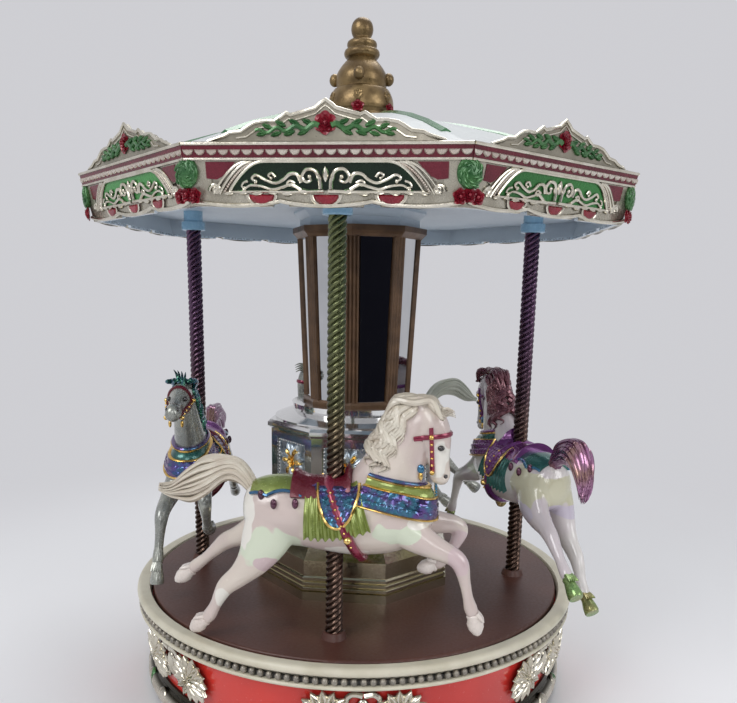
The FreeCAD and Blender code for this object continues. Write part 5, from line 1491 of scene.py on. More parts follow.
@dataclass
class Pole:
    """One barley-twist pole."""

    name: str
    degrees: float
    tone: PoleTone
    radius: float = 2.55
    swell: float = 0.36
    starts: int = 5
    lead: float = 10.5
    bottom: float = 37.0
    top: float = 186.0
    circle: float = 66.0
    sides: int = 50
    rise: float = 0.4

    def finish(self) -> Finish:
        """The pole's plating.

        Returns:
            Its finish.
        """
        high = {PoleTone.GILT: (0.13, 0.145, 0.07), PoleTone.PURPLE: (0.105, 0.058, 0.105)}[self.tone]
        return Finish("pole_" + self.tone.value, ((0.05, 0.032, 0.025), (0.105, 0.066, 0.05)), 0.14, 0.3,
                      metallic=0.9, cloud=120, climb=high, climb_from=0.09, climb_to=0.15)

    def build(self) -> None:
        """Make the twisted pole in place of its node."""
        clay = Clay()
        rows = int((self.top - self.bottom) / self.rise)
        middle = spin(radians(self.degrees)) @ Vector((0, -self.circle, 0))
        rings = []
        for row in range(rows + 1):
            z = self.bottom + (self.top - self.bottom) * row / rows
            ring = []
            for step in range(self.sides):
                angle = TAU * step / self.sides
                wave = cos(self.starts * (angle - TAU * z / self.lead))
                radius = self.radius + self.swell * (1.0 - 2.0 * (0.5 - 0.5 * wave) ** 2.2)
                ring.append(middle + Vector((radius * cos(angle), radius * sin(angle), z)))
            rings.append(ring)
        clay.rings(rings)
        dress(clay.mesh("twist_" + self.name), self.finish(), Body.TURNTABLE,
              ("pole_" + self.name,))


class HeadCarriage(Enum):
    """How a horse carries its head: rows of its neck and its head, each of x, z and two half sizes."""

    TUCKED = (
        ((13, 46, 12.8, 7.6), (16.5, 54, 11.6, 6.6), (19.6, 61.5, 9.6, 5.5), (22.4, 68.5, 7.8, 4.7),
         (25.2, 74.0, 6.2, 4.2), (28.0, 77.6, 4.6, 3.5)),
        ((25.6, 79.2, 3.4, 2.8), (27.6, 77.4, 4.8, 3.7), (30.0, 73.8, 5.6, 4.2), (31.6, 69.6, 5.2, 3.9),
         (32.6, 65.2, 4.0, 3.2), (33.2, 61.2, 3.3, 2.8), (33.5, 58.2, 3.4, 3.0), (33.4, 56.0, 2.8, 2.6),
         (33.2, 54.8, 1.4, 1.4)))
    RAISED = (
        ((13, 46, 12.8, 7.6), (18, 54, 11.0, 6.5), (22.4, 61, 9.0, 5.4), (26.4, 67.4, 7.2, 4.7),
         (29.6, 72.0, 5.8, 4.1), (32.0, 75.0, 4.4, 3.4)),
        ((29.0, 76.4, 3.4, 2.8), (31.2, 76.0, 4.8, 3.7), (35.0, 75.0, 5.4, 4.2), (39.2, 73.8, 4.9, 3.8),
         (43.2, 72.8, 3.8, 3.1), (46.6, 72.2, 3.2, 2.8), (49.2, 71.8, 3.3, 3.0), (51.0, 71.4, 2.6, 2.5),
         (52.0, 71.2, 1.3, 1.3)))

    def neck(self) -> list[Row]:
        """Rows of the neck from the withers, of x, y, z and two half sizes."""
        return [(x, 0, *rest) for x, *rest in self.value[0]]

    def head(self) -> list[Row]:
        """Rows of the head from the poll to the muzzle, of x, y, z and two half sizes."""
        return [(x, 0, *rest) for x, *rest in self.value[1]]


class Lead(Enum):
    """Fore leg that a horse reaches with, as the sign on the legs' own y."""

    OUTER = 1
    INNER = -1


class Hoof(Enum):
    """Radii of a hoof from the pastern to the toe."""

    POINTED = (1.6, 2.3, 2.1, 2.7, 2.5, 1.4, 0.5)
    FLARED = (1.6, 2.3, 2.1, 2.4, 2.8, 3.0, 2.7)


class TailStyle(Enum):
    """How a horse carries its tail: rows of x, z and the spread of its strands."""

    STREAMING = (
        (-26.0, 50.4, 2.4), (-31.0, 56.2, 3.4), (-36.5, 57.4, 4.6), (-42.5, 54.8, 6.2), (-48.5, 51.2, 5.8),
        (-54.0, 49.4, 3.6), (-59.0, 50.0, 0.8))
    CURLED = (
        (-25.5, 50.5, 2.6), (-29.0, 57.0, 3.6), (-35.5, 60.0, 5.0), (-42.0, 58.8, 6.0), (-46.0, 54.2, 5.8),
        (-47.0, 49.0, 4.4), (-45.6, 45.4, 2.0))
    LOFTY = (
        (-26.0, 50.0, 2.6), (-30.0, 59.0, 3.2), (-36.5, 65.8, 3.8), (-44.5, 66.8, 4.0), (-51.5, 63.2, 3.2),
        (-55.6, 60.6, 1.8), (-57.6, 59.8, 0.6))


@dataclass(frozen=True)
class Livery:
    """Finishes of one horse."""

    coat: Finish
    mane: Finish
    tail: Finish
    hoof: Finish
    skirt: Finish
    scales: Finish
    saddle: Finish
    strap: Finish


# Tints of patches on the pearl coats. On the front horse the white patches are painted highlights, and the
# green and pink ones are partly the coat's own colour and partly its reflections, painted at fixed places.
GREEN_TINT, PAINTED_HIGHLIGHT, PINK_TINT = (0.63, 0.68, 0.54), (0.78, 0.75, 0.69), (0.60, 0.47, 0.48)
FRONT_FLANK = (
    (-19.5, 73.5, 9.0, 8.4, GREEN_TINT), (-21.0, 68.5, 4.2, 3.4, PINK_TINT),
    (20.0, 80.0, 8.4, 3.4, GREEN_TINT), (29.0, 84.0, 5.0, 1.9, PAINTED_HIGHLIGHT),
    (41.0, 73.0, 3.4, 6.0, PINK_TINT), (-27.5, 83.0, 2.8, 8.5, PAINTED_HIGHLIGHT),
    (-36.0, 56.0, 3.0, 5.0, PAINTED_HIGHLIGHT), (33.0, 104.0, 3.4, 6.0, PAINTED_HIGHLIGHT),
    (4.0, 73.0, 7.0, 1.8, PAINTED_HIGHLIGHT))
RIGHT_FLANK = (
    (-25.0, 84.0, 9.0, 7.0, (0.58, 0.56, 0.41)), (-24.0, 75.0, 8.0, 2.6, (0.58, 0.53, 0.62)),
    (18.0, 80.0, 7.0, 3.2, GREEN_TINT))
PEARL_PATCHES = tuple(Blotch((x, -66, z), (wide, 30, tall), tint) for x, z, wide, tall, tint in FRONT_FLANK)
RIGHT_PATCHES = tuple(Blotch((66, y, z), (30, wide, tall), tint) for y, z, wide, tall, tint in RIGHT_FLANK)
PEARL = Finish("pearl_white", ((0.60, 0.50, 0.465), (0.67, 0.59, 0.52)), 0.16, 0.28, coat=0.6, cloud=60,
               edge=0.05, detail=1.2, blotches=PEARL_PATCHES)
RIGHT_PEARL = Finish("pearl_lilac", ((0.68, 0.65, 0.63), (0.60, 0.54, 0.56)), 0.14, 0.26, coat=0.6, cloud=50,
                     edge=0.06, detail=1.2, blotches=RIGHT_PATCHES)
GREY_PEARL = Finish("pearl_grey", ((0.27, 0.28, 0.26), (0.18, 0.19, 0.18), (0.34, 0.35, 0.31)), 0.18, 0.32,
                    coat=0.5, cloud=60, metallic=0.4, edge=0.08)
CREAM = Finish("cream_hair", ((0.70, 0.65, 0.55), (0.58, 0.51, 0.42)), 0.26, 0.4, coat=0.3, cloud=140,
               glance=(0.44, 0.38, 0.30))
GREEN_HAIR = Finish("green_hair", ((0.015, 0.09, 0.06), (0.02, 0.17, 0.08)), 0.16, 0.3, metallic=0.7,
                    coat=0.4, glance=(0.03, 0.12, 0.20))
PURPLE_HAIR = Finish("purple_hair", ((0.42, 0.20, 0.36), (0.30, 0.10, 0.28), (0.34, 0.20, 0.14)), 0.1, 0.22,
                     metallic=0.6, coat=0.5, glance=(0.15, 0.035, 0.12))
PLUM_HAIR = Finish("plum_hair", ((0.11, 0.03, 0.05), (0.20, 0.08, 0.09)), 0.2, 0.36, metallic=0.5, coat=0.3)
GREY_HAIR = Finish("grey_hair", ((0.36, 0.37, 0.31), (0.27, 0.285, 0.24)), 0.26, 0.4, coat=0.3)
OLIVE = Finish("olive_skirt", ((0.20, 0.25, 0.05), (0.30, 0.37, 0.10)), 0.16, 0.3, metallic=0.45, coat=0.5,
               cloud=150)
TEAL = Finish("teal_skirt", ((0.015, 0.08, 0.075), (0.03, 0.14, 0.12)), 0.16, 0.3, metallic=0.45, coat=0.5,
              cloud=150)
SCALES = Finish("scale_blue", ((0.045, 0.05, 0.22), (0.13, 0.045, 0.22), (0.025, 0.15, 0.22)), 0.1, 0.22,
                metallic=0.7, coat=0.5, cloud=230, glance=(0.10, 0.05, 0.17))
PURPLE = Finish("purple_lacquer", ((0.14, 0.03, 0.16), (0.22, 0.06, 0.24)), 0.14, 0.28, metallic=0.5,
                coat=0.5)
MAROON = Finish("maroon_strap", ((0.20, 0.015, 0.045), (0.30, 0.03, 0.07)), 0.16, 0.3, metallic=0.5, coat=0.5)
EYE = Finish("eye_dark", ((0.012, 0.010, 0.012), (0.03, 0.02, 0.02)), 0.06, 0.12, coat=0.8)
JEWEL = Finish("jewel_blue", ((0.02, 0.10, 0.22), (0.04, 0.20, 0.34)), 0.06, 0.14, metallic=0.6, coat=0.8)
BEAD_DROP = Finish("bead_plum", ((0.06, 0.01, 0.03), (0.12, 0.03, 0.07)), 0.08, 0.18, metallic=0.5, coat=0.7)
GREEN_HOOF = Finish("hoof_green_gold", ((0.20, 0.34, 0.12), (0.34, 0.24, 0.10)), 0.18, 0.32, metallic=0.6,
                    coat=0.3)
HOOF_PEARL = Finish("hoof_pearl", ((0.76, 0.69, 0.64), (0.62, 0.53, 0.48)), 0.22, 0.36, coat=0.4)

WHITE_LIVERY = Livery(PEARL, CREAM, CREAM, HOOF_PEARL, OLIVE, SCALES, PLUM, MAROON)
RIGHT_LIVERY = Livery(RIGHT_PEARL, PLUM_HAIR, PURPLE_HAIR, GREEN_HOOF, TEAL, PURPLE, PURPLE, PURPLE)
GREY_LIVERY = Livery(GREY_PEARL, GREEN_HAIR, PURPLE_HAIR, GREY_PEARL, TEAL, SCALES, PURPLE, PLUM)
BACK_LIVERY = Livery(GREY_PEARL, GREY_HAIR, GREY_HAIR, GREY_PEARL, OLIVE, SCALES, PLUM, MAROON)


@dataclass
class Horse:
    """One moulded horse with its hair and tack, heading +x from its pole, heights from the deck."""

    name: str
    degrees: float
    turn: float
    carriage: HeadCarriage
    lead: Lead
    tail_style: TailStyle
    livery: Livery
    hoof: Hoof = Hoof.FLARED
    circle: float = 66.0
    deck: float = 40.0
    voxel: float = 0.5
    tail_strands: int = 34
    barrel: tuple[Row, ...] = (
        (-29.8, 44.6, 4.0, 3.4), (-28.0, 44.4, 7.6, 6.6), (-24, 44.2, 10.0, 9.0), (-18, 43.9, 11.3, 10.2),
        (-10, 43.4, 11.4, 10.3), (-2, 42.9, 11.9, 10.6), (6, 42.7, 12.5, 10.6), (13, 43.2, 12.7, 10.2),
        (20, 44.0, 12.2, 9.6), (26, 45.0, 10.6, 8.2), (30, 45.8, 7.8, 6.2), (32.2, 46.2, 3.8, 3.2))
    reaching_fore: tuple[Row, ...] = (
        (22, -4.6, 42, 6.8, 4.4), (27, -5.6, 38.6, 5.4, 3.8), (33, -6.6, 35.6, 3.9, 3.1),
        (38.6, -7.2, 33.2, 3.1, 2.7), (41.0, -7.5, 30.6, 2.8, 2.5), (42.3, -7.8, 26.0, 2.0, 1.9),
        (43.6, -8.2, 20.6, 1.75, 1.7), (44.6, -8.4, 17.0, 2.2, 2.1), (45.5, -8.4, 14.6, 2.0, 1.9))
    folded_fore: tuple[Row, ...] = (
        (22, 4.6, 42, 6.8, 4.4), (28, 6.0, 40.4, 5.2, 3.8), (34.5, 7.4, 39.6, 3.8, 3.1),
        (39.6, 8.5, 38.6, 3.1, 2.7), (41.0, 8.8, 36.0, 2.8, 2.5), (39.4, 8.8, 31.6, 2.0, 1.9),
        (37.0, 8.6, 28.0, 1.75, 1.7), (35.0, 8.4, 25.6, 2.2, 2.1), (33.2, 8.3, 24.4, 2.0, 1.9))
    low_hind: tuple[Row, ...] = (
        (-19, -4.8, 42, 9.4, 5.0), (-22.0, -5.9, 35.0, 8.0, 4.6), (-25.5, -6.4, 28.6, 5.8, 3.9),
        (-30.0, -6.6, 23.4, 4.0, 3.0), (-34.6, -6.8, 19.4, 3.2, 2.6), (-36.6, -6.8, 16.4, 2.6, 2.3),
        (-38.6, -6.8, 12.4, 2.0, 1.9), (-40.6, -6.8, 8.8, 2.3, 2.1), (-42.2, -6.8, 7.0, 2.1, 2.0))
    high_hind: tuple[Row, ...] = (
        (-19, 4.8, 42, 9.4, 5.0), (-24, 5.9, 37.4, 7.6, 4.6), (-29.5, 6.4, 33.8, 5.2, 3.8),
        (-34.5, 6.6, 31.6, 3.6, 3.0), (-38.6, 6.8, 29.6, 3.1, 2.6), (-41.6, 6.8, 27.0, 2.5, 2.2),
        (-45.6, 6.8, 23.4, 1.95, 1.8), (-49.4, 6.8, 20.2, 2.25, 2.1), (-51.0, 6.8, 18.8, 2.0, 1.9))
    fore_hooves: tuple[Row, ...] = ((45.6, -8.4, 14.4, 47.4, -8.4, 7.6), (33.0, 8.2, 24.3, 27.2, 8.0, 22.6))
    hind_hooves: tuple[Row, ...] = ((-42.4, -6.8, 6.8, -47.4, -6.8, 2.7),
                                    (-51.2, 6.8, 18.6, -57.0, 6.8, 13.9))
    collar_middle: Vector = field(default_factory=lambda: Vector((17.5, 0, 50.4)))
    collar_chest: Vector = field(default_factory=lambda: Vector((0.978, 0, -0.207)).normalized())
    mane_layers: tuple[Row, ...] = (
        (9, 0.44, 34.0, 70.0, 1.2, 0.5), (9, 0.42, 16.0, 50.0, 1.3, 1.5), (8, 0.38, 2.0, 28.0, 1.35, 2.4))
    eye_back: float = 8.6
    skin: Optional[BVHTree] = None

    def led(self, rows: Sequence[Row]) -> list[Row]:
        """Put a fore leg, or the fore hooves, on the side that the horse leads with.

        Args:
            rows: Their rows for a lead with the outer leg.

        Returns:
            The rows, mirrored for a lead with the inner leg.
        """
        sign = self.lead.value
        return [(x, sign * y, z, first, sign * second if rest else second, *rest)
                for x, y, z, first, second, *rest in rows]

    def place(self) -> Matrix:
        """Matrix from the horse's own millimetres to the frame.

        Returns:
            The matrix.
        """
        round_tower = Matrix.Rotation(radians(self.degrees), 4, "Z")
        on_pole = Matrix.Rotation(radians(self.turn), 4, "Z")
        return round_tower @ Matrix.Translation((0, -self.circle, self.deck)) @ on_pole

    def build(self) -> None:
        """Mould the body, then hang its hair and tack on it."""
        body = self._body()
        self.skin = BVHTree.FromObject(body, bpy.context.evaluated_depsgraph_get())
        self._settle(body, "body", self.livery.coat, ("horse_" + self.name,))
        self._hooves()
        self._tail()
        self._mane()
        self._face()
        self._blankets()
        self._collar()
        self._saddle()
        self._bridle()

    def _settle(self, lump: Clay | bpy.types.Object, label: str, finish: Finish,
                nodes: Sequence[str] = ()) -> None:
        """Move a piece from the horse's own place to its pole and dress it.

        Args:
            lump: The lump or finished object, in the horse's own place.
            label: What it is.
            finish: Its finish.
            nodes: CAD nodes that it replaces.
        """
        piece = lump.mesh(label) if isinstance(lump, Clay) else lump
        place = self.place()
        place.translation *= MM
        piece.data.transform(place)
        piece.name = f"{self.name}_horse_{label}"
        piece.data.name = piece.name
        dress(piece, finish, Body.TURNTABLE, nodes)

    @staticmethod
    def _limb(clay: Clay, rows: Sequence[Row], steps: int = 5, sides: int = 22) -> None:
        """Add a smooth limb whose sections stand square to its run.

        Args:
            clay: The lump that it joins.
            rows: Rows of x, y, z and half sizes along and across the bend.
            steps: Steps between rows.
            sides: Points round it.
        """
        fine = curve_through(rows, steps)
        middles = [Vector(row[:3]) for row in fine]
        rings = []
        for index, row in enumerate(fine):
            run = (middles[min(index + 1, len(fine) - 1)] - middles[max(index - 1, 0)]).normalized()
            bend = SIDE.cross(run).normalized()
            ring = []
            for step in range(sides):
                angle = TAU * step / sides
                ring.append(middles[index] + bend * (row[3] * cos(angle))
                            + SIDE * (row[4] * sin(angle)))
            rings.append(ring)
        clay.rings(rings)

    def _body(self) -> bpy.types.Object:
        """Barrel, neck, head and legs joined into one smooth skin.

        Returns:
            The body, in the horse's own place.
        """
        clay = Clay()
        sides = 30
        rings = []
        for x, z, up, wide in curve_through(self.barrel, 6):
            turns = [TAU * step / sides for step in range(sides)]
            rings.append([Vector((x, wide * sin(turn), z + up * cos(turn))) for turn in turns])
        clay.rings(rings)
        for rows in (self.carriage.neck(), self.carriage.head(), self.led(self.reaching_fore),
                     self.led(self.folded_fore), self.low_hind, self.high_hind):
            self._limb(clay, rows)
        poll = Vector(self.carriage.head()[1][:3])
        for hand in (-1, 1):
            tip = poll + Vector((-1.6, 2.6 * hand, 6.2))
            root, bend = poll + Vector((-1.0, 1.9 * hand, 1.4)), poll + Vector((-1.3, 2.3 * hand, 3.6))
            clay.tube([root, bend, tip], [1.3, 1.15, 0.2], 8)
        raw = clay.mesh("raw")
        remesh = raw.modifiers.new("skin", "REMESH")
        remesh.mode = "VOXEL"
        remesh.voxel_size = self.voxel * 1.0 * MM
        smooth = raw.modifiers.new("smooth", "SMOOTH")
        smooth.factor = 0.5
        smooth.iterations = 7
        graph = bpy.context.evaluated_depsgraph_get()
        skin = bpy.data.meshes.new_from_object(raw.evaluated_get(graph))
        bpy.data.objects.remove(raw)
        self._shape(skin)
        skin.shade_smooth()
        body = placed("body", skin)
        bpy.context.view_layer.update()
        return body

    def head_frame(self) -> tuple[Vector, Vector, Vector]:
        """Frame of the head.

        Returns:
            The muzzle's middle, the direction from poll to muzzle and the direction of the forehead.
        """
        rows = self.carriage.head()
        muzzle, poll = Vector(rows[-3][:3]), Vector(rows[2][:3])
        along = (muzzle - poll).normalized()
        front = SIDE.cross(along)
        return muzzle, along, front if front.x + front.z > 0 else -front

    def _shape(self, skin: bpy.types.Mesh) -> None:
        """Press nostrils, mouth, eye sockets and muscle hollows into the skin.

        Args:
            skin: The body's mesh, in metres.
        """
        muzzle, along, front = self.head_frame()
        count = len(skin.vertices)
        spots = np.empty(count * 3)
        skin.vertices.foreach_get("co", spots)
        spots = spots.reshape(count, 3) / MM
        normals = np.empty(count * 3)
        skin.vertex_normals.foreach_get("vector", normals)
        sunk = np.zeros(count)
        for hand in (-1, 1):
            across = SIDE * hand
            hollows = (
                (muzzle + along * 0.6 + front * 1.3 + across * 2.4, 1.0, 0.8),
                (muzzle - along * self.eye_back + front * 2.0 + across * 3.6, 1.7, 0.55),
                (muzzle - along * 0.2 - front * 2.2 + across * 2.2, 1.2, 0.35),
                (muzzle - along * 5.0 + across * 3.4, 2.2, 0.45),
                (Vector((14.0, 11.0 * hand, 44.0)), 5.0, 0.5),
                (Vector((-13.0, 11.0 * hand, 37.0)), 5.5, 0.7))
            for centre, reach, depth in hollows:
                gaps = np.linalg.norm(spots - np.array(centre), axis=1)
                sunk += depth * np.exp(-(gaps / reach) ** 2)
        spots -= normals.reshape(count, 3) * sunk[:, None]
        skin.vertices.foreach_set("co", (spots * MM).ravel())
        skin.update()

    def _hooves(self) -> None:
        """Four hooves from the pastern to the toe, each with a tuft at its fetlock."""
        clay = Clay()
        for x1, y1, z1, x2, y2, z2 in self.led(self.fore_hooves) + list(self.hind_hooves):
            start, end = Vector((x1, y1, z1)), Vector((x2, y2, z2))
            path = [start.lerp(end, share) for share in (-0.12, 0.0, 0.14, 0.34, 0.62, 0.9, 1.0)]
            clay.tube(path, self.hoof.value, 16, 0.85, SIDE)
            heel = (end - start).cross(SIDE).normalized() * (1.0 if x1 > 40 else -1.0)
            for lock in range(5):
                fan = (lock - 2) / 2
                tuft = [start + heel * (1.2 + 1.7 * t) + SIDE * (fan * (0.9 + 0.8 * t))
                        + (end - start) * (0.42 * t - 0.1) for t in (0.0, 0.35, 0.7, 1.0)]
                clay.tube(tuft, [0.9, 0.8, 0.55, 0.15], 6)
        self._settle(clay, "hooves", self.livery.hoof)

    def _tail(self) -> None:
        """Tail of many wavy strands round a carried line."""
        clay = Clay()
        line = curve_through(self.tail_style.value, 6)
        for strand in range(self.tail_strands):
            turn = GOLDEN_ANGLE * strand
            reach = sqrt((strand + 0.5) / self.tail_strands)
            path, radii = [], []
            last = len(line) - 1 - int(5 * (1.0 - reach) * (strand % 3) / 2)
            for index, (x, z, wide) in enumerate(line[:last + 1]):
                share = index / last
                wave = 0.55 * sin(4.2 * share * pi + turn)
                lift = wide * reach * cos(turn)
                path.append(Vector((x, 0.62 * wide * reach * sin(turn) + 0.4 * wave, z + lift + wave)))
                radii.append(max(0.12, 1.12 * min(1.0, 2.4 * share + 0.4) * (1.0 - share ** 2.4)))
            clay.tube(path, radii, 7)
        self._settle(clay, "tail", self.livery.tail)

    def neck_at(self, share: float) -> tuple[Vector, Vector]:
        """Middle of the neck and the direction of its crest.

        Args:
            share: Place up the neck, from 0 at the withers to 1 at the poll.

        Returns:
            The point and the unit direction.
        """
        rows = curve_through(self.carriage.neck(), 8)
        place = min(max(share, 0.0), 1.0) * (len(rows) - 1)
        index = min(int(place), len(rows) - 2)
        here, there = Vector(rows[index][:3]), Vector(rows[index + 1][:3])
        run = (there - here).normalized()
        return here.lerp(there, place - index), Vector((-run.z, 0, run.x))

    def _mane(self) -> None:
        """Wavy locks that lie on the neck in layers, ropes over the poll and a blown forelock."""
        clay = Clay()
        for layer, (count, fall, first, last, size, lift) in enumerate(self.mane_layers):
            for index in range(int(count)):
                start = 1.0 - 0.58 * (index + 0.5 * (layer % 2)) / count
                for hand in (-1, 1):
                    path, radii = [], []
                    for step in range(21):
                        t = step / 20
                        wave = sin(TAU * 1.5 * t + 1.9 * index + layer) * t ** 0.4
                        turn = radians(hand * (first + (last - first) * t ** 0.9 + 11.0 * wave))
                        middle, back = self.neck_at(start * (1.0 - fall * t))
                        height = lift * (0.35 + 0.75 * start) * sin(pi * min(0.92, 0.3 + 0.7 * t))
                        out = back * cos(turn) + SIDE * sin(turn)
                        path.append(self._cast(middle, out, height, 15.0)[0])
                        full = 0.6 + 0.4 * sin(pi * min(1.0, 0.2 + t))
                        radii.append(size * full * (1.0 - 0.85 * t ** 1.9))
                    clay.tube(path, radii, 7)
        poll = Vector(self.carriage.head()[1][:3])
        _, along, front = self.head_frame()
        for rope in range(7):
            fan = (rope - 3) / 3
            low, crest = self.neck_at(0.68)
            high, tilt = self.neck_at(0.87)
            knots = [low + crest * 9.4, high + tilt * 9.6, poll - along * 3.0 + tilt * 2.2,
                     poll - along * 3.2 + front * 3.0, poll + front * 5.4 + along * 0.6,
                     poll + front * 6.0 + along * (3.2 - abs(fan))]
            rows = [(*(knot + SIDE * (fan * (2.2 + 0.5 * place))), 0) for place, knot in enumerate(knots)]
            path = [Vector(row[:3]) for row in curve_through(rows, 5)]
            count = len(path) - 1
            radii = []
            for index, spot in enumerate(path):
                path[index] = spot + Vector((0.2, 0.8, 0.5)) * sin(13.0 * index / count + 2.0 * rope)
                radii.append(1.05 * sin(pi * (0.12 + 0.8 * index / count)) + 0.15)
            clay.tube(path, radii, 8)
        for wisp in range(4):
            fan = (wisp - 1.5) / 1.5
            path = []
            for t in (0.0, 0.2, 0.4, 0.6, 0.8, 1.0):
                blown = along * (1.0 + wisp * 0.9 - 1.5 * sin(pi * t))
                path.append(poll + front * (4.6 + 5.2 * t) + blown + SIDE * fan * (1.0 + 1.4 * t))
            clay.tube(path, [0.8, 0.75, 0.6, 0.45, 0.3, 0.1], 6)
        self._settle(clay, "mane", self.livery.mane)

    def eye_spot(self, hand: int) -> Vector:
        """Place of an eye on one side."""
        muzzle, along, front = self.head_frame()
        return muzzle - along * self.eye_back + front * 2.0 + SIDE * (3.0 * hand)

    def _face(self) -> None:
        """Dark eyes and nostrils set in the head."""
        clay = Clay()
        muzzle, along, front = self.head_frame()
        for hand in (-1, 1):
            clay.bead(self.eye_spot(hand), (1.15, 0.8, 0.9), 14, 8)
            nostril = muzzle + along * 0.8 + front * 1.7 + SIDE * (1.9 * hand)
            clay.bead(nostril, (0.7, 0.5, 0.7), 10, 6)
        self._settle(clay, "eyes", EYE)

    def _cast(self, middle: Vector, out: Vector, lift: float, reach: float = 34.0) -> tuple[Vector, Vector]:
        """Outer skin of the body in a direction.

        Args:
            middle: Point inside the body, in millimetres.
            out: Direction.
            lift: Height over the skin.
            reach: How far out the search starts.

        Returns:
            A point over the skin and one sunk into it, in millimetres.
        """
        start = (middle + out * reach) * MM
        hit, normal, _, _ = self.skin.ray_cast(start, -out, reach * MM)
        if hit is None:
            hit, normal, _, _ = self.skin.find_nearest((middle + out * 4.0) * MM)
        flat = (normal + out).normalized()
        return hit / MM + flat * lift, hit / MM - flat * 0.7

    def _patch(self, clay: Clay, grid: Callable[[float, float], tuple], rows: int, columns: int) -> None:
        """Add a cover that follows the skin.

        Args:
            clay: The lump that it joins.
            grid: Middle, direction, lift and, where it differs, reach for two shares from 0 to 1.
            rows: Steps of the first share.
            columns: Steps of the second share.
        """
        clay.skin(lambda first, second: self._cast(*grid(first, second)), rows, columns)

    def _band(self, clay: Clay, middle: Vector, first: Vector, width: float, lift: float,
              reach: Row = (34.0, 34.0), scaled: float = 0.0, steps: int = 96, span: float = 1.0) -> None:
        """Add a strap round the body in the plane of a direction and the sideways axis.

        Args:
            clay: The lump that it joins.
            middle: Middle of the loop.
            first: Direction at angle zero.
            width: Width of the strap.
            lift: Its height over the skin.
            reach: How far out the search starts at angle zero and opposite it.
            scaled: Height of overlapping scales on it.
            steps: Steps along it.
            span: Share of the loop that it covers, about angle zero.
        """
        first = first.normalized()
        normal = first.cross(SIDE).normalized()
        rows = max(4, int(width / 0.35)) if scaled else 5

        def spot(share: float, along: float) -> tuple[Vector, Vector, float, float]:
            """One point of the strap.

            Args:
                share: Share across its width.
                along: Share along it.

            Returns:
                Its middle, direction, lift and reach.
            """
            angle = TAU * span * (along - 0.5)
            raised = lift * (0.55 + 0.45 * sin(pi * min(max(share, 0.06), 0.94)))
            if scaled:
                raised = lift + scaled * scale_height(share * width / 2.0, along * steps / 7.0)
            far = reach[0] + (reach[1] - reach[0]) * (0.5 - 0.5 * cos(angle))
            out = first * cos(angle) + SIDE * sin(angle)
            return middle + normal * (width * (share - 0.5)), out, raised, far

        self._patch(clay, spot, rows, steps)

    @staticmethod
    def around(x: float, degrees: float) -> tuple[Vector, Vector]:
        """Middle and direction on the barrel at a place along it and an angle from the top."""
        angle = radians(degrees)
        return Vector((x, 0, 43.5)), UP * cos(angle) + SIDE * sin(angle)

    def _blankets(self) -> None:
        """Pleated blanket under the saddle, rump cover with a bright edge, and its hanging beads."""
        blanket, drops, edge = Clay(), Clay(), Clay()
        for hand in (-1, 1):
            def pleated(along: float, down: float) -> tuple[Vector, Vector, float]:
                """One point of the pleated blanket, which is fuller towards its hem.

                Args:
                    along: Share along the horse.
                    down: Share down its side.

                Returns:
                    Its middle, direction and lift.
                """
                pleat = 0.5 + 0.5 * cos(TAU * 9.0 * along)
                hem = 98.0 - 18.0 * along ** 2 + 1.2 * cos(TAU * 9.0 * along)
                middle, out = self.around(-8.4 + 16.0 * along + 5.0 * along * down,
                                          hand * (20.0 + hem * down))
                return middle, out, 0.5 + (0.5 + 1.1 * pleat) * down

            self._patch(blanket, pleated, 84, 26)
        self._settle(blanket, "blanket", self.livery.skirt)

        def hem_angle(along: float) -> float:
            """Angle of the rump cover's scalloped hem."""
            return 48.0 - 9.0 * abs(cos(1.5 * pi * along))

        def rump(along: float, turn: float) -> tuple[Vector, Vector, float]:
            """Rump cover with a scalloped hem."""
            middle, out = self.around(-26.5 + 17.0 * along, hem_angle(along) * (2.0 * turn - 1.0))
            return middle, out, 0.7

        cover = Clay()
        self._patch(cover, rump, 24, 30)
        self._settle(cover, "cover", self.livery.skirt)
        for hand in (-1, 1):
            path = []
            for step in range(31):
                middle, out = self.around(-26.5 + 17.0 * step / 30, hand * hem_angle(step / 30))
                path.append(self._cast(middle, out, 0.7)[0])
            edge.tube(path, [0.55] * len(path), 7)
            for x, turn in ((-22.6, 46.0), (-18.2, 62.0), (-11.4, 60.0)):
                middle, out = self.around(x, hand * turn)
                spot, _ = self._cast(middle, out, 0.6)
                drops.bead(spot, (1.1, 1.0, 1.7), 12, 8)
        self._settle(edge, "cover_edge", JEWEL)
        self._settle(drops, "drops", BEAD_DROP)

    def _collar(self) -> None:
        """Breast collar of scales with gold edges and a plain band, and scaled flaps with a gold rim."""
        middle, chest, reach = self.collar_middle, self.collar_chest, (17.0, 27.0)
        normal = chest.cross(SIDE)
        scales, gold, band = Clay(), Clay(), Clay()
        self._band(scales, middle, chest, 5.6, 0.9, reach, scaled=0.5, steps=154, span=0.8)
        self._band(scales, middle + normal * 6.6, chest, 1.3, 1.3, reach, steps=96, span=0.8)
        self._band(band, middle + normal * 4.6, chest, 2.6, 0.8, reach, steps=96, span=0.8)
        for shift in (-3.2, 3.1, 5.9):
            self._band(gold, middle + normal * shift, chest, 0.8, 1.5, reach, steps=96, span=0.8)
        for hand in (-1, 1):
            def flap(along: float, down: float) -> tuple[Vector, Vector, float]:
                """One point of a half-round flap of overlapping scales.

                Args:
                    along: Share along the horse.
                    down: Share down its side.

                Returns:
                    Its middle, direction and lift.
                """
                x = 0.2 + 6.8 * (2.0 * along - 1.0) + 1.8 * down
                drop = 82.0 * sqrt(max(0.02, 1.0 - (2.0 * along - 1.0) ** 2))
                spot, out = self.around(x, hand * (30.0 + (drop - 16.0) * down))
                return spot, out, 1.6 + 0.45 * scale_height(down * drop / 10.0, (x + 20.0) / 1.9)

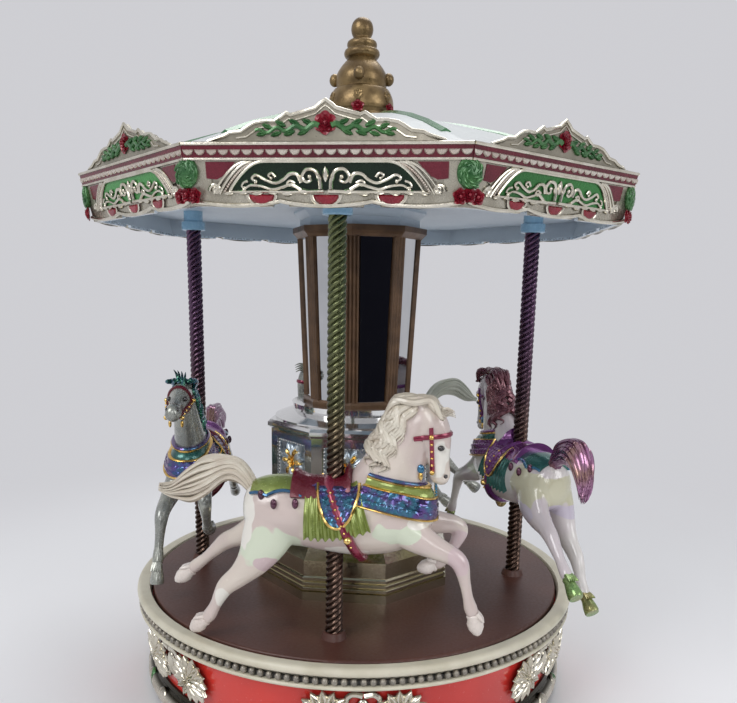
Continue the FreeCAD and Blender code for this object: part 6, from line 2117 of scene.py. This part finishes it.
            self._patch(scales, flap, 60, 46)
            rim = []
            for step in range(49):
                spot, out, _ = flap(step / 48, 1.0)
                rim.append(self._cast(spot, out, 1.7)[0])
            gold.tube(rim, [0.5] * len(rim), 7)
        self._settle(scales, "scales", self.livery.scales)
        self._settle(band, "collar_band", self.livery.skirt)
        self._settle(gold, "edging", BRIGHT_GOLD)

    def _saddle(self) -> None:
        """Saddle with a raised cantle and pommel."""
        seat = Clay()

        def saddle(along: float, turn: float) -> tuple[Vector, Vector, float]:
            """One point of the saddle.

            Args:
                along: Share along it from the cantle.
                turn: Share across the back.

            Returns:
                Its middle, direction and lift.
            """
            rise = 0.9 + 1.8 * exp(-(along / 0.16) ** 2) + 1.5 * exp(-((along - 1.0) / 0.13) ** 2)
            bow = 2.0 * turn - 1.0
            middle, out = self.around(-13.2 + 19.0 * along, 50.0 * bow)
            return middle, out, 0.6 + rise * (1.0 - 0.75 * bow * bow)

        self._patch(seat, saddle, 44, 30)
        self._settle(seat, "saddle", self.livery.saddle)

    def _bridle(self) -> None:
        """Girth, bridle, gold studs, and jewels at the throat and on the rein of a tucked head."""
        straps, studs, jewels = Clay(), Clay(), Clay()
        muzzle, along, front = self.head_frame()
        girth, lean = Vector((3.7, 0, 43.0)), Vector((-0.44, 0, 1.0)).normalized()
        self._band(straps, girth, lean, 2.8, 2.3)
        brow = self.eye_back + 4.2
        self._band(straps, muzzle - along * brow, front + along * 0.1, 1.5, 0.65, (12.0, 7.0), steps=48)
        for hand in (-1, 1):
            def cheek(share: float, width: float) -> tuple[Vector, Vector, float, float]:
                """One point of the cheek strap.

                Args:
                    share: Share along it from the poll to the bit.
                    width: Share across it.

                Returns:
                    Its middle, direction, lift and reach.
                """
                drop = along * (brow + 3.0 - (brow + 1.6) * share)
                middle = muzzle - drop + front * (0.2 - 2.2 * share + 1.3 * (width - 0.5))
                return middle, SIDE * hand, 0.6, 9.0

            self._patch(straps, cheek, 22, 4)
            for share in (0.2, 0.36, 0.52, 0.68, 0.84, 1.0):
                middle, out, _, far = cheek(share, 0.5)
                spot, _ = self._cast(middle, out, 0.85, far)
                studs.bead(spot, (0.85 if share in (0.2, 1.0) else 0.45,) * 3)
            for turn in range(40, 125, 12):
                angle = radians(hand * turn)
                spot, _ = self._cast(girth, lean * cos(angle) + SIDE * sin(angle), 2.4)
                studs.bead(spot, (1.3 if 104 < turn < 118 else 0.42,) * 3)
            spot, _ = self._cast(muzzle - along * 3.4 - front * 5.6, SIDE * hand, 0.5, 9.0)
            jewels.bead(spot, (1.2, 0.8, 1.5), 12, 8)
            studs.bead(spot - UP * 2.4, (0.7, 0.6, 1.4), 10, 8)
        if self.carriage is HeadCarriage.TUCKED:
            top, foot = muzzle + along * 2.0 - front * 1.6, self.collar_middle + self.collar_chest * 15.6
            for step in range(10):
                jewels.bead(top.lerp(foot, step / 9), (0.48,) * 3)
        self._settle(straps, "straps", self.livery.strap)
        self._settle(studs, "gilding", BRIGHT_GOLD)
        self._settle(jewels, "jewels", JEWEL)


def scale_height(row: float, column: float) -> float:
    """Height of overlapping round scales over a patch.

    Args:
        row: Place across the rows, one per row.
        column: Place along them, one per scale.

    Returns:
        A height from 0 to 1, highest at each scale's free edge.
    """
    step = floor(row)
    down = row - step
    across = (column + 0.5 * (step % 2)) % 1.0 - 0.5
    edge = 0.55 + 0.45 * sqrt(max(0.0, 1.0 - 4.0 * across * across))
    return max(0.0, down / edge) ** 1.5 if down < edge else 0.15 * (1.0 - abs(across))


@dataclass
class Movement:
    """Music movement in the base, dressed as it comes from the CAD nodes."""

    steel: str = "bedplate click comb comb_screws mainspring winding_arbor ratchet_wheel governor_worm"
    brass: str = ("cylinder_bearings governor_frame comb_block spring_barrel winding_key pinned_cylinder "
                  "crown_pinion cylinder_wheel governor_wheel")

    def build(self) -> None:
        """Give the nodes their finishes."""
        paint_nodes({STEEL: self.steel, BRASS: self.brass})


def main() -> None:
    """Build the scene in order."""
    logging.basicConfig(level=logging.INFO, format="%(relativeCreated)d %(name)s %(message)s")
    bpy.context.scene.view_settings.view_transform = "Standard"
    Studio().build()
    Movement().build()
    Base().build()
    Tower().build()
    Canopy().build()
    stands = (
        Horse("front", 0.0, 0.0, HeadCarriage.TUCKED, Lead.OUTER, TailStyle.STREAMING, WHITE_LIVERY,
              Hoof.POINTED),
        Horse("right", 90.0, 22.0, HeadCarriage.TUCKED, Lead.INNER, TailStyle.CURLED, RIGHT_LIVERY),
        Horse("back", 180.0, 22.0, HeadCarriage.TUCKED, Lead.OUTER, TailStyle.LOFTY, BACK_LIVERY),
        Horse("left", 270.0, 7.5, HeadCarriage.RAISED, Lead.OUTER, TailStyle.STREAMING, GREY_LIVERY))
    for horse in stands:
        tone = PoleTone.GILT if horse.name in ("front", "back") else PoleTone.PURPLE
        Pole(horse.name, horse.degrees, tone).build()
        horse.build()


if __name__ == "__main__":
    main()
